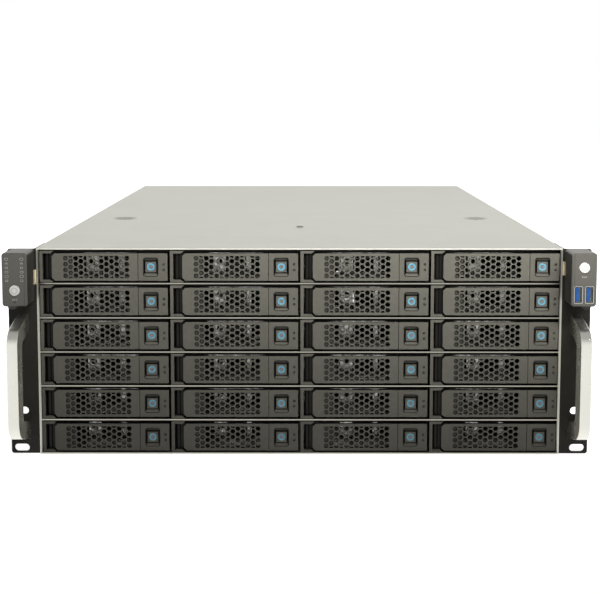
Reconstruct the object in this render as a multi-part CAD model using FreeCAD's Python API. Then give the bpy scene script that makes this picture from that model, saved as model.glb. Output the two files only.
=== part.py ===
"""Rackmount server case, four rack units tall, with twenty-four hot-swap drive trays.

Frame: X to the right, Y to the rear, Z up, in millimetres.
The origin is on the underside, midway across, in the plane where the ears meet the rack's rails.
"""

import FreeCAD
import Part

import math
import os

Vector = FreeCAD.Vector

# Rack standard: panel width, its holes from the edge and from the bottom of the first unit
RACK_WIDTH = 482.6
RACK_HOLE_FROM_EDGE = 8.75
RACK_FIRST_HOLE = 6.35
RACK_THIRD_HOLE = 38.1
RACK_SLOT_WIDTH = 6.4
RACK_SLOT_LENGTH = 12.5

# Outer shell
EAR_REACH = 24.0
BODY_HEIGHT = 174.0
BODY_DEPTH = 690.0
FRONT_LIP = 3.0
STEEL = 1.2
RACK_GAP_BELOW = 1.0
SEAM_Y = 225.0
SEAM_GAP = 0.4
RAIL_SCREW_RADIUS = 2.1
RAIL_SCREW_FRONT_Y = 300.0
RAIL_SCREW_SPACING = 300.0

# Removable rear half of the top
COVER_FLANGE = 8.0
COVER_FLANGE_GAP = 0.4
COVER_TAIL = 14.0
DISH_RADIUS = 13.5
DISH_FLOOR_RADIUS = 9.0
DISH_DEPTH = 2.0
DISH_FROM_SIDE = 38.0
DISH_SETBACK = 1.2
DISH_CLEARANCE = 0.6
SCREW_HEAD_RADIUS = 3.6
SCREW_HEAD_HEIGHT = 1.4
SCREW_CROWN_RADIUS = 2.2
THUMBSCREW_RADIUS = 5.5
THUMBSCREW_HEIGHT = 8.0
THUMBSCREW_COLLAR_RADIUS = 3.8
THUMBSCREW_COLLAR = 2.4
THUMBSCREW_FROM_CENTRE = 150.0
TOP_SCREW_Y = 159.0

# Drive cage
ROWS = 6
COLUMNS = 4
CAGE_SIDE = 0.8
CAGE_SHEET = 1.0
CAGE_DEPTH = 193.0
CAGE_SLOT_GAP = 0.15
DIVIDER_SETBACK = 9.0
SHELF_WINDOW_MARGIN = 16.0
SHELF_WINDOW_FRONT = 45.0

# Drive tray
TRAY_SIDE_GAP = 0.5
TRAY_FLOAT = 0.3
TRAY_TOP_GAP = 1.1
TRAY_REAR_GAP = 8.4
BEZEL_SETBACK = 0.6
BEZEL_DEPTH = 12.0
BEZEL_BAR_SETBACK = 6.6
BEZEL_BAR_HEIGHT = 2.2
POST_WIDTH = 2.6
FLANGE_LENGTH = 11.6
FLANGE_TAPER = 2.4
FACE_INSET_BOTTOM = 1.4
FACE_INSET_TOP = 2.1
BLOCK_WIDTH = 24.2
RAIL_SHEET = 1.6
RAIL_HEIGHT = 20.0
STRAP_SHEET = 0.8
STRAP_WIDTH = 15.0
STRAP_REAR_MARGIN = 22.0
STOP_SHEET = 1.0
STOP_SETBACK = 27.0
STOP_HEIGHT = 22.0
STOP_FRAME = 4.0
STOP_POST_LEFT = 34.0
STOP_POST_WIDTH = 10.5
STOP_SLIM_LEFT = 62.0
STOP_SLIM_WIDTH = 4.0
STOP_HOLE_RADIUS = 2.6
STOP_HOLE_HEIGHT = 13.2
DRIVE_SCREW_RADIUS = 1.9
DRIVE_SCREW_HEIGHT = 7.6
DRIVE_SCREW_FROM_REAR = (35.0, 76.3, 136.6)

# Tray lever and its hexagonal vents
LEVER_LEFT = 10.2
LEVER_GAP = 0.4
LEVER_PLATE = 3.0
LEVER_CORNER = 2.4
LEVER_RIM_DEPTH = 2.6
LEVER_RIM = 1.6
PIVOT_POST_GAP = 0.5
PIVOT_FROM_FRONT = 5.4
PIVOT_BARREL = 2.3
PIVOT_PIN = 1.1
PIVOT_PIN_LENGTH = 1.5
PIVOT_CLEARANCE = 0.16
PIVOT_END_GAP = 0.4
VENT_PITCH = 4.88
VENT_HOLE = 3.8
VENT_COLUMNS = 13
VENT_BLIND_COLUMNS = 2
VENT_FULL_ROWS = 4
VENT_START = 21.6
VENT_BLIND_DEPTH = 1.8

# Tray release button
POCKET_WIDTH = 12.3
POCKET_HEIGHT = 15.6
POCKET_CORNER = 2.0
POCKET_DEPTH = 2.0
BUTTON_SIDE = 9.6
BUTTON_GAP = 0.3
BUTTON_RECESS = 0.7
BUTTON_LENGTH = 7.0
BUTTON_EDGE = 0.4
BUTTON_TRAVEL = 2.0
BUTTON_FROM_RIGHT = 13.9
LAMP_RADIUS = 1.1
LAMP_FROM_RIGHT = 3.2
LAMP_SPACING = 4.6

# Backplanes
BOARD = 1.6
BOARD_HEIGHT = 24.0
BOARD_SIDE_GAP = 1.5
BOARD_WINDOW_WIDTH = 44.0
BOARD_WINDOW_HEIGHT = 12.0
SOCKET_WIDTH = 42.0
SOCKET_HEIGHT = 6.0
SOCKET_REACH = 10.0
SOCKET_FROM_FLOOR = 3.0
SOCKET_FROM_RIGHT = 8.0
POWER_PLUG_WIDTH = 21.0
POWER_PLUG_HEIGHT = 8.0
POWER_PLUG_REACH = 11.0

# Fan wall and its fans
FAN_COUNT = 3
FAN_SIZE = 120.0
FAN_DEPTH = 38.0
FAN_BORE = 57.5
FAN_CORNER = 7.0
FAN_SCREW_RADIUS = 2.2
FAN_SCREW_INSET = 7.5
FAN_FLOOR_GAP = 18.0
FAN_WALL_FROM_SEAM = 15.0
FAN_WALL_FLANGE = 24.0
FAN_WALL_FLANGE_GAP = 7.5
ROTOR_TIP_GAP = 2.0
ROTOR_HUB = 22.0
ROTOR_ROOT_SINK = 2.2
ROTOR_DEPTH = 26.0
ROTOR_SETBACK = 3.0
ROTOR_BLADES = 7
ROTOR_REST_TURN = 23.0
ROTOR_ROOT_ANGLE = 52.0
ROTOR_TIP_ANGLE = 32.0
ROTOR_CHORD = 26.0
ROTOR_BLADE_SHEET = 2.0
SHAFT_RADIUS = 4.0
SHAFT_LENGTH = 18.0
SHAFT_CLEARANCE = 0.2
STRUT_WIDTH = 5.0
STRUT_DEPTH = 4.0
STRUT_COUNT = 4

# Rack ears, handles and control housings
EAR_SHEET = 2.0
EAR_CORNER = 2.2
EAR_LEG = 38.0
EAR_TRIM = 0.6
EAR_SCREWS = 3
EAR_SCREW_FROM_REAR = 10.0
EAR_SCREW_MARGIN = 30.0
HANDLE_WIDTH = 9.0
HANDLE_FROM_EDGE = 7.6
HANDLE_REACH = 42.0
HANDLE_FOOT_LOW = 13.0
HANDLE_BELOW_HOUSING = 10.9
HANDLE_LOW_SPLAY = 11.0
HANDLE_HIGH_SPLAY = 8.5
HANDLE_GRIP = 17.0
HANDLE_FOOT = 15.0
HANDLE_LOW_RADIUS = 16.0
HANDLE_HIGH_RADIUS = 15.0
HANDLE_INNER_RADIUS = 5.0
HANDLE_EDGE = 0.9
HOUSING_SIDE_GAP = 1.7
HOUSING_EDGE_INSET = 2.0
HOUSING_HEIGHT = 43.6
HOUSING_DEPTH = 28.0
HOUSING_TOP_GAP = 0.5
HOUSING_CORNER = 2.6
HOUSING_EDGE = 0.8
HOUSING_GROOVE = 0.5
HOUSING_GROOVE_FROM_EDGE = 1.9
LUG_RADIUS = 4.4
LUG_DROP = 0.6
LUG_DEPTH = 20.0
LUG_FROM_EDGE = 6.2
PUSH_RADIUS = 4.3
PUSH_GAP = 0.3
PUSH_LENGTH = 6.0
PUSH_PROUD = 0.9
PUSH_EDGE = 0.5
PUSH_WELL = 8.0
POWER_PUSH_FROM_TOP = 30.6
IDENT_PUSH_FROM_TOP = 12.0
RESET_HOLE_RADIUS = 0.6
RESET_HOLE_DEPTH = 4.0
RESET_HOLE_FROM_TOP = 40.2
PANEL_LAMP_RADIUS = 0.7
PANEL_LAMP_DEPTH = 1.0
PANEL_LAMP_COUNT = 6
PANEL_LAMP_PITCH = 3.5
PANEL_LAMP_FROM_TOP = 5.0
PANEL_LAMP_SPREAD = 12.2
USB_WIDTH = 7.0
USB_HEIGHT = 14.2
USB_WALL = 0.5
USB_CORNER = 1.0
USB_GAP = 0.2
USB_DEPTH = 14.0
USB_PITCH = 9.0
USB_FROM_TOP = 33.9
USB_TONGUE_WIDTH = 3.0
USB_TONGUE_HEIGHT = 11.4
USB_TONGUE_SHIFT = 0.8
USB_TONGUE_SETBACK = 1.0

# Power supplies at the rear
PSU_WIDTH = 73.5
PSU_HEIGHT = 40.0
PSU_DEPTH = 185.0
PSU_COUNT = 2
PSU_SLIDE_GAP = 0.4
PSU_SIDE_MARGIN = 2.0
PSU_CAGE_SHEET = 1.0
PSU_CAGE_EXTRA = 6.0
POWER_SOCKET_WIDTH = 38.0
POWER_SOCKET_HEIGHT = 14.0
PSU_HANDLE_REACH = 24.0
PSU_HANDLE_BAR = 5.0
PSU_HANDLE_WIDTH = 26.0
PSU_HANDLE_HEIGHT = 24.0
PSU_HANDLE_FROM_LEFT = 4.0
INLET_WIDTH = 27.0
INLET_HEIGHT = 19.5
INLET_DEPTH = 16.0
INLET_CORNER = 3.2
INLET_FROM_RIGHT = 5.0
INLET_PIN_LENGTH = 12.0
INLET_PIN_SPACING = 7.0
INLET_PIN_WIDTH = 2.0
INLET_PIN_HEIGHT = 4.0
LATCH_SHEET = 3.0
LATCH_REACH = 9.0
LATCH_HEIGHT = 14.0
LATCH_GAP = 3.0

# Rear panel
IO_WIDTH = 158.75
IO_HEIGHT = 44.45
IO_FROM_FLOOR = 9.0
IO_FROM_PSU = 8.0
SLOT_COUNT = 7
SLOT_PITCH = 20.32
SLOT_WIDTH = 14.0
SLOT_HEIGHT = 105.0
SLOT_FROM_FLOOR = 12.0
SLOT_GAP_FROM_IO = 5.0
SLOT_COVER_SHEET = 1.0
SLOT_COVER_OVERLAP = 2.0
SLOT_COVER_FOOT = 9.0
VENT_SLOT_WIDTH = 4.0
VENT_SLOT_PITCH = 8.0
VENT_SLOT_HEIGHT = 76.0
VENT_SLOT_COUNT = 18
VENT_SLOT_FROM_TOP = 14.0

# Board stand-offs
STANDOFF_ACROSS_FLATS = 5.5
STANDOFF_HEIGHT = 6.4
STANDOFF_BORE = 1.5
MAIN_BOARD_PAST_IO = 5.0
MAIN_BOARD_REAR_GAP = 2.0
STANDOFFS_FROM_SIDE = (16.51, 140.97, 298.45)
STANDOFFS_FROM_REAR = (10.16, 165.1, 237.49)

# Places worked out from the sizes above
BODY_WIDTH = RACK_WIDTH - 2 * EAR_REACH
Y_FRONT = -FRONT_LIP
Y_REAR = Y_FRONT + BODY_DEPTH
HALF_WIDTH = BODY_WIDTH / 2
TOP = BODY_HEIGHT - STEEL
Y_CAGE_REAR = Y_FRONT + CAGE_DEPTH
CAGE_HALF = HALF_WIDTH - STEEL - CAGE_SIDE
BAY_WIDTH = (2 * CAGE_HALF - (COLUMNS - 1) * CAGE_SHEET) / COLUMNS
BAY_HEIGHT = (TOP - STEEL - (ROWS - 1) * CAGE_SHEET) / ROWS
TRAY_WIDTH = BAY_WIDTH - 2 * TRAY_SIDE_GAP
TRAY_HEIGHT = BAY_HEIGHT - TRAY_FLOAT - TRAY_TOP_GAP
TRAY_Y = Y_FRONT + BEZEL_SETBACK
TRAY_LENGTH = CAGE_DEPTH - BEZEL_SETBACK - TRAY_REAR_GAP
PIVOT_FROM_LEFT = POST_WIDTH + PIVOT_POST_GAP + PIVOT_BARREL
FACE_TOP = TRAY_HEIGHT - FACE_INSET_TOP
FACE_CENTRE = (FACE_INSET_BOTTOM + FACE_TOP) / 2
BLOCK_LEFT = TRAY_WIDTH - BLOCK_WIDTH
EAR_FRONT = -EAR_SHEET
HOUSING_FRONT = EAR_FRONT - HOUSING_DEPTH
HOUSING_TOP = BODY_HEIGHT - HOUSING_TOP_GAP
HOUSING_LOW = HOUSING_TOP - HOUSING_HEIGHT
HOUSING_WIDTH = EAR_REACH - HOUSING_SIDE_GAP - HOUSING_EDGE_INSET
HOUSING_OUTER = RACK_WIDTH / 2 - HOUSING_EDGE_INSET
HOUSING_CENTRE = HOUSING_OUTER - HOUSING_WIDTH / 2
FAN_GAP = (BODY_WIDTH - 2 * STEEL - FAN_COUNT * FAN_SIZE) / (FAN_COUNT + 1)
FAN_PITCH = FAN_SIZE + FAN_GAP
FAN_WALL_Y = SEAM_Y + FAN_WALL_FROM_SEAM
FAN_CENTRE_Z = STEEL + FAN_FLOOR_GAP + FAN_SIZE / 2
PSU_LEFT = HALF_WIDTH - STEEL - PSU_SIDE_MARGIN - PSU_WIDTH
PSU_PITCH = PSU_HEIGHT + 2 * PSU_SLIDE_GAP + PSU_CAGE_SHEET


def box(low, high):
    """A block between two opposite corners."""
    size = [h - l for l, h in zip(low, high)]
    return Part.makeBox(*size, Vector(*low))


def cylinder_y(radius, length, x, y, z):
    """A round bar along +Y that starts at the point given."""
    return Part.makeCylinder(radius, length, Vector(x, y, z), Vector(0, 1, 0))


def cylinder_x(radius, length, x, y, z):
    """A round bar along +X that starts at the point given."""
    return Part.makeCylinder(radius, length, Vector(x, y, z), Vector(1, 0, 0))


def outline(points, radii=None):
    """A closed wire through the points, each corner rounded to its radius."""
    points = [Vector(*p) for p in points]
    radii = radii or [0.0] * len(points)
    edges = []
    ends = []
    for i, corner in enumerate(points):
        back = (points[i - 1] - corner).normalize()
        ahead = (points[(i + 1) % len(points)] - corner).normalize()
        if radii[i] <= 0:
            ends.append((corner, corner))
            continue
        half = back.getAngle(ahead) / 2
        cut = radii[i] / math.tan(half)
        bisector = (back + ahead).normalize()
        middle = corner + bisector * (radii[i] / math.sin(half) - radii[i])
        start, stop = corner + back * cut, corner + ahead * cut
        edges.append(Part.Arc(start, middle, stop).toShape())
        ends.append((start, stop))
    for i, (start, _) in enumerate(ends):
        last = ends[i - 1][1]
        if last.distanceToPoint(start) > 1e-6:
            edges.append(Part.LineSegment(last, start).toShape())
    return Part.Wire(Part.__sortEdges__(edges))


def rectangle_y(x, z, width, height, y, radius=0.0):
    """A rounded rectangle facing along Y, centred on x and z."""
    corners = [(-1, -1), (1, -1), (1, 1), (-1, 1)]
    points = [(x + i * width / 2, y, z + k * height / 2) for i, k in corners]
    return outline(points, [radius] * len(points))


def extruded(wires, along):
    """A solid swept from a flat face; wires after the first are holes."""
    return Part.makeFace(wires, "Part::FaceMakerBullseye").extrude(Vector(*along))


def slot_y(x, z, length, width, y, depth):
    """A slot along X with round ends, cut along Y."""
    return extruded([rectangle_y(x, z, length, width, y, width / 2 - 1e-4)], (0, depth, 0))


def fused(shapes):
    """One solid from several that overlap or touch."""
    return shapes[0].multiFuse(shapes[1:]).removeSplitter()


def moved(shape, x, y, z):
    """A copy of a shape, moved."""
    copy = shape.copy()
    copy.translate(Vector(x, y, z))
    return copy


def mirrored(shape):
    """The left-hand twin of a right-hand shape."""
    return shape.mirror(Vector(0, 0, 0), Vector(1, 0, 0))


# Outer shell

def chassis_base():
    """Bottom pan and both side walls, folded from one sheet."""
    pan = box((-HALF_WIDTH, Y_FRONT, 0), (HALF_WIDTH, Y_REAR, STEEL))
    wall = box((HALF_WIDTH - STEEL, Y_FRONT, 0), (HALF_WIDTH, Y_REAR, TOP))
    shell = fused([pan, wall, mirrored(wall)])
    for step in range(2):
        y = RAIL_SCREW_FRONT_Y + step * RAIL_SCREW_SPACING
        shell = shell.cut(cylinder_x(RAIL_SCREW_RADIUS, BODY_WIDTH, -HALF_WIDTH, y, BODY_HEIGHT / 2))
    return shell


def io_left():
    """Where the connector opening of the rear panel starts."""
    return PSU_LEFT - PSU_SLIDE_GAP - PSU_CAGE_SHEET - IO_FROM_PSU - IO_WIDTH


def slot_centres():
    """The middle of each expansion slot, from the connector opening outwards."""
    first = io_left() - SLOT_GAP_FROM_IO - SLOT_WIDTH / 2
    return [first - i * SLOT_PITCH for i in range(SLOT_COUNT)]


def rear_panel():
    """Rear wall with the power, connector, slot and exhaust openings."""
    inner = HALF_WIDTH - STEEL
    front, depth = Y_REAR - STEEL, STEEL
    panel = box((-inner, front, STEEL), (inner, Y_REAR, TOP))
    low = STEEL + IO_FROM_FLOOR
    cuts = [box((io_left(), front, low), (io_left() + IO_WIDTH, Y_REAR, low + IO_HEIGHT))]
    cuts.append(box((PSU_LEFT - PSU_SLIDE_GAP, front, STEEL), (inner, Y_REAR, psu_stack_top())))
    for x in slot_centres():
        middle = STEEL + SLOT_FROM_FLOOR + SLOT_HEIGHT / 2
        cuts.append(extruded([rectangle_y(x, middle, SLOT_WIDTH, SLOT_HEIGHT, front)], (0, depth, 0)))
    vent_z = TOP - VENT_SLOT_FROM_TOP - VENT_SLOT_HEIGHT / 2
    for i in range(VENT_SLOT_COUNT):
        x = io_left() + IO_WIDTH / 2 + (i - (VENT_SLOT_COUNT - 1) / 2) * VENT_SLOT_PITCH
        radius = VENT_SLOT_WIDTH / 2 - 1e-4
        wire = rectangle_y(x, vent_z, VENT_SLOT_WIDTH, VENT_SLOT_HEIGHT, front, radius)
        cuts.append(extruded([wire], (0, depth, 0)))
    return panel.cut(cuts)


def front_cover():
    """Fixed front half of the top, over the drive cage."""
    return box((-HALF_WIDTH, Y_FRONT, TOP), (HALF_WIDTH, SEAM_Y, BODY_HEIGHT))


def dish_places():
    """Centres of the two pressed dishes beside the seam."""
    x = HALF_WIDTH - DISH_FROM_SIDE
    y = SEAM_Y + SEAM_GAP + DISH_SETBACK + DISH_RADIUS
    return [(-x, y), (x, y)]


def dish(x, y):
    """The hollow of a pressed dish and the metal that forms it."""
    def cone(offset):
        base = Vector(x, y, BODY_HEIGHT - DISH_DEPTH - offset)
        return Part.makeCone(DISH_FLOOR_RADIUS, DISH_RADIUS, DISH_DEPTH, base)
    return cone(0), cone(STEEL)


def rear_cover():
    """Removable rear half of the top, with its captive screws."""
    front = SEAM_Y + SEAM_GAP
    plate = box((-HALF_WIDTH, front, TOP), (HALF_WIDTH, Y_REAR, BODY_HEIGHT))
    outer = HALF_WIDTH - STEEL - COVER_FLANGE_GAP
    flange_front = FAN_WALL_Y + STEEL + COVER_FLANGE_GAP
    flange_rear = Y_REAR - STEEL - COVER_FLANGE_GAP
    flange = box((outer - STEEL, flange_front, TOP - COVER_FLANGE), (outer, flange_rear, TOP))
    tail = box((-HALF_WIDTH, Y_REAR, BODY_HEIGHT - COVER_TAIL), (HALF_WIDTH, Y_REAR + STEEL, BODY_HEIGHT))
    shell = [plate, flange, mirrored(flange), tail]
    hollows = []
    for x, y in dish_places():
        hollow, metal = dish(x, y)
        hollows.append(hollow)
        shell.append(metal)
    cover = fused(shell).cut(hollows)
    screws = [screw_head(x, y, BODY_HEIGHT - DISH_DEPTH) for x, y in dish_places()]
    tail_z = BODY_HEIGHT - COVER_TAIL / 2
    for side in (-1, 1):
        screws.append(thumbscrew(side * THUMBSCREW_FROM_CENTRE, Y_REAR + STEEL, tail_z))
    return Part.makeCompound([cover] + screws)


def screw_head(x, y, z):
    """Domed screw head standing on a horizontal face."""
    crown = SCREW_HEAD_HEIGHT / 2
    low = Part.makeCylinder(SCREW_HEAD_RADIUS, crown, Vector(x, y, z))
    high = Part.makeCone(SCREW_HEAD_RADIUS, SCREW_CROWN_RADIUS, crown, Vector(x, y, z + crown))
    return fused([low, high])


def thumbscrew(x, y, z):
    """Captive thumbscrew on the cover's tail: a collar and a wider grip."""
    collar = cylinder_y(THUMBSCREW_COLLAR_RADIUS, THUMBSCREW_COLLAR, x, y, z)
    grip_length = THUMBSCREW_HEIGHT - THUMBSCREW_COLLAR
    grip = cylinder_y(THUMBSCREW_RADIUS, grip_length, x, y + THUMBSCREW_COLLAR, z)
    return fused([collar, grip])


# Drive cage

def bay_left(column):
    """Left side of a column of bays."""
    return -CAGE_HALF + column * (BAY_WIDTH + CAGE_SHEET)


def bay_floor(row):
    """Floor of a row of bays; row 0 is the top one."""
    return STEEL + (ROWS - 1 - row) * (BAY_HEIGHT + CAGE_SHEET)


def cage_middle():
    """Depth at which the shelves' slots meet the dividers' slots."""
    return (Y_FRONT + Y_CAGE_REAR) / 2


def cage_shelves():
    """Five shelves, windowed under each tray and slotted for the dividers from behind."""
    shelves = []
    for row in range(ROWS - 1):
        top = bay_floor(row)
        low = top - CAGE_SHEET
        cuts = []
        for column in range(COLUMNS):
            left = bay_left(column) + SHELF_WINDOW_MARGIN
            right = bay_left(column) + BAY_WIDTH - SHELF_WINDOW_MARGIN
            rear = Y_CAGE_REAR - SHELF_WINDOW_MARGIN
            cuts.append(box((left, Y_FRONT + SHELF_WINDOW_FRONT, low), (right, rear, top)))
        for column in range(1, COLUMNS):
            right = bay_left(column) + CAGE_SLOT_GAP
            left = bay_left(column) - CAGE_SHEET - CAGE_SLOT_GAP
            cuts.append(box((left, cage_middle(), low), (right, Y_CAGE_REAR, top)))
        plate = box((-CAGE_HALF, Y_FRONT, low), (CAGE_HALF, Y_CAGE_REAR, top))
        shelves.append(plate.cut(cuts))
    return Part.makeCompound(shelves)


def cage_walls():
    """Two side plates and three dividers, slotted for the shelves from the front."""
    side = box((CAGE_HALF, Y_FRONT, STEEL), (CAGE_HALF + CAGE_SIDE, Y_CAGE_REAR, TOP))
    walls = [mirrored(side), side]
    front = Y_FRONT + DIVIDER_SETBACK
    for column in range(1, COLUMNS):
        right = bay_left(column)
        left = right - CAGE_SHEET
        cuts = []
        for row in range(ROWS - 1):
            top = bay_floor(row) + CAGE_SLOT_GAP
            low = bay_floor(row) - CAGE_SHEET - CAGE_SLOT_GAP
            cuts.append(box((left, front, low), (right, cage_middle(), top)))
        plate = box((left, front, STEEL), (right, Y_CAGE_REAR, TOP))
        walls.append(plate.cut(cuts))
    return Part.makeCompound(walls)


# Drive tray, modelled with its lower left front corner at the origin

def tray_bezel():
    """Plastic front of a tray: hinge post, bars over and under the lever, and button block."""
    post = box((0, 0, 0), (POST_WIDTH, BEZEL_DEPTH, TRAY_HEIGHT))
    low = [(0, 0, 0), (FLANGE_LENGTH, 0, 0)]
    low += [(FLANGE_LENGTH - FLANGE_TAPER, 0, BEZEL_BAR_HEIGHT), (0, 0, BEZEL_BAR_HEIGHT)]
    high = [(x, y, TRAY_HEIGHT - z) for x, y, z in low]
    flanges = [extruded([outline(points)], (0, BEZEL_DEPTH, 0)) for points in (low, high)]
    bar = box((0, BEZEL_BAR_SETBACK, 0), (TRAY_WIDTH, BEZEL_DEPTH, BEZEL_BAR_HEIGHT))
    top_bar = moved(bar, 0, 0, TRAY_HEIGHT - BEZEL_BAR_HEIGHT)
    block = box((BLOCK_LEFT, 0, FACE_INSET_BOTTOM), (TRAY_WIDTH, BEZEL_DEPTH, FACE_TOP))
    bezel = fused([post, bar, top_bar, block] + flanges)
    x = TRAY_WIDTH - BUTTON_FROM_RIGHT
    shaft = BUTTON_SIDE + 2 * BUTTON_GAP
    mouth = rectangle_y(x, FACE_CENTRE, POCKET_WIDTH, POCKET_HEIGHT, 0, POCKET_CORNER)
    throat = rectangle_y(x, FACE_CENTRE, shaft, shaft, POCKET_DEPTH, BUTTON_GAP)
    cuts = [Part.makeLoft([mouth, throat], True)]
    shaft_depth = BUTTON_RECESS + BUTTON_LENGTH + BUTTON_TRAVEL + BUTTON_GAP - POCKET_DEPTH
    cuts.append(extruded([throat], (0, shaft_depth, 0)))
    for side in (-1, 1):
        z = FACE_CENTRE + side * LAMP_SPACING / 2
        cuts.append(cylinder_y(LAMP_RADIUS, BEZEL_DEPTH, TRAY_WIDTH - LAMP_FROM_RIGHT, 0, z))
    for low_z in (BEZEL_BAR_HEIGHT - pin_seat_depth(), TRAY_HEIGHT - BEZEL_BAR_HEIGHT):
        base = Vector(PIVOT_FROM_LEFT, PIVOT_FROM_FRONT, low_z)
        cuts.append(Part.makeCylinder(PIVOT_PIN + PIVOT_CLEARANCE, pin_seat_depth(), base))
    return bezel.cut(cuts)


def pin_seat_depth():
    """Depth of the blind hole that takes one of the lever's hinge pins."""
    return PIVOT_PIN_LENGTH - PIVOT_END_GAP + PIVOT_CLEARANCE


def tray_rails():
    """Two steel side rails with the drive's screw holes, on two cross straps."""
    rail = box((0, BEZEL_DEPTH, STRAP_SHEET), (RAIL_SHEET, TRAY_LENGTH, STRAP_SHEET + RAIL_HEIGHT))
    z = STRAP_SHEET + DRIVE_SCREW_HEIGHT
    holes = [
        cylinder_x(DRIVE_SCREW_RADIUS, RAIL_SHEET, 0, TRAY_LENGTH - y, z)
        for y in DRIVE_SCREW_FROM_REAR
    ]
    rail = rail.cut(holes)
    strap_fronts = (STOP_SETBACK, TRAY_LENGTH - STRAP_REAR_MARGIN - STRAP_WIDTH)
    straps = [box((0, y, 0), (TRAY_WIDTH, y + STRAP_WIDTH, STRAP_SHEET)) for y in strap_fronts]
    return [rail, moved(rail, TRAY_WIDTH - RAIL_SHEET, 0, 0)] + straps


def tray_stop():
    """Steel cross plate that the drive stops against, open around two posts."""
    left, right = RAIL_SHEET, TRAY_WIDTH - RAIL_SHEET
    low, high = STRAP_SHEET, STRAP_SHEET + STOP_HEIGHT
    plate = box((left, STOP_SETBACK, low), (right, STOP_SETBACK + STOP_SHEET, high))
    spans = [
        (left + STOP_FRAME, STOP_POST_LEFT),
        (STOP_POST_LEFT + STOP_POST_WIDTH, STOP_SLIM_LEFT),
        (STOP_SLIM_LEFT + STOP_SLIM_WIDTH, right - STOP_FRAME),
    ]
    cuts = []
    for start, stop in spans:
        corner = (start, STOP_SETBACK, low + STOP_FRAME)
        cuts.append(box(corner, (stop, STOP_SETBACK + STOP_SHEET, high - STOP_FRAME)))
    centre = STOP_POST_LEFT + STOP_POST_WIDTH / 2
    cuts.append(cylinder_y(STOP_HOLE_RADIUS, STOP_SHEET, centre, STOP_SETBACK, low + STOP_HOLE_HEIGHT))
    return plate.cut(cuts)


def vent_hexagon(x, z, low, high, y):
    """A hexagonal hole, cut off square where it passes the top or bottom of the vent field."""
    half = VENT_HOLE / 2
    corner = half / math.cos(math.pi / 6)
    base, crest = max(z - half, low), min(z + half, high)
    def reach(height):
        return corner * (1 - abs(height - z) / (2 * half))
    points = [(x - reach(base), y, base), (x + reach(base), y, base)]
    if base < z < crest:
        points.append((x + corner, y, z))
    points += [(x + reach(crest), y, crest), (x - reach(crest), y, crest)]
    if base < z < crest:
        points.append((x - corner, y, z))
    return outline(points)


def vent_wires(y):
    """The vent field as two lists of hexagons: blind ones first, then those that go through."""
    blind, through = [], []
    column_pitch = VENT_PITCH * math.cos(math.pi / 6)
    reach = (VENT_FULL_ROWS - 1) / 2 * VENT_PITCH + VENT_HOLE / 2
    low, high = FACE_CENTRE - reach, FACE_CENTRE + reach
    for column in range(VENT_COLUMNS):
        count = VENT_FULL_ROWS + column % 2
        for row in range(count):
            z = FACE_CENTRE + (row - (count - 1) / 2) * VENT_PITCH
            wire = vent_hexagon(VENT_START + column * column_pitch, z, low, high, y)
            (blind if column < VENT_BLIND_COLUMNS else through).append(wire)
    return blind, through


def tray_lever():
    """Vented lever that covers the tray's front and turns on two pins behind the hinge post."""
    right = BLOCK_LEFT - LEVER_GAP
    cut = LEVER_CORNER
    low, high = FACE_INSET_BOTTOM, FACE_TOP
    points = [(LEVER_LEFT, 0, low + cut), (LEVER_LEFT + cut, 0, low), (right, 0, low)]
    points += [(right, 0, high), (LEVER_LEFT + cut, 0, high), (LEVER_LEFT, 0, high - cut)]
    blind, through = vent_wires(0)
    plate = extruded([outline(points)] + through, (0, LEVER_PLATE, 0))
    plate = plate.cut([extruded([wire], (0, VENT_BLIND_DEPTH, 0)) for wire in blind])
    barrel_low = BEZEL_BAR_HEIGHT + PIVOT_END_GAP
    barrel_high = TRAY_HEIGHT - BEZEL_BAR_HEIGHT - PIVOT_END_GAP
    length = barrel_high - barrel_low
    pivot = Vector(PIVOT_FROM_LEFT, PIVOT_FROM_FRONT, barrel_low)
    barrel = Part.makeCylinder(PIVOT_BARREL, length, pivot)
    pins = Part.makeCylinder(
        PIVOT_PIN, length + 2 * PIVOT_PIN_LENGTH, pivot - Vector(0, 0, PIVOT_PIN_LENGTH)
    )
    web_front = LEVER_PLATE / 2
    web = box(
        (PIVOT_FROM_LEFT, PIVOT_FROM_FRONT - PIVOT_BARREL / 2, barrel_low),
        (LEVER_LEFT + LEVER_CORNER, PIVOT_FROM_FRONT + PIVOT_BARREL / 2, barrel_high),
    )
    neck = box(
        (LEVER_LEFT, web_front, low + cut),
        (LEVER_LEFT + LEVER_CORNER, PIVOT_FROM_FRONT, high - cut),
    )
    rim = box((right - LEVER_RIM, LEVER_PLATE, low), (right, LEVER_PLATE + LEVER_RIM_DEPTH, high))
    return fused([plate, barrel, pins, web, neck, rim])


def tray_button():
    """Square release button with a bevelled front edge."""
    x = TRAY_WIDTH - BUTTON_FROM_RIGHT
    back = rectangle_y(x, FACE_CENTRE, BUTTON_SIDE, BUTTON_SIDE, BUTTON_RECESS + BUTTON_EDGE)
    face_side = BUTTON_SIDE - 2 * BUTTON_EDGE
    face = rectangle_y(x, FACE_CENTRE, face_side, face_side, BUTTON_RECESS)
    cap = Part.makeLoft([face, back], True)
    stem = extruded([back], (0, BUTTON_LENGTH - BUTTON_EDGE, 0))
    return fused([cap, stem])


def tray_place(row, column):
    """Where a tray's own corner sits in the case."""
    return bay_left(column) + TRAY_SIDE_GAP, TRAY_Y, bay_floor(row) + TRAY_FLOAT


# Backplanes

def board_floor(row):
    """Lower edge of a row's backplane."""
    return bay_floor(row) + (BAY_HEIGHT - BOARD_HEIGHT) / 2


def socket_left(column):
    """Left end of the drive socket in a column."""
    return bay_left(column) + BAY_WIDTH - SOCKET_FROM_RIGHT - SOCKET_WIDTH


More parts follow.
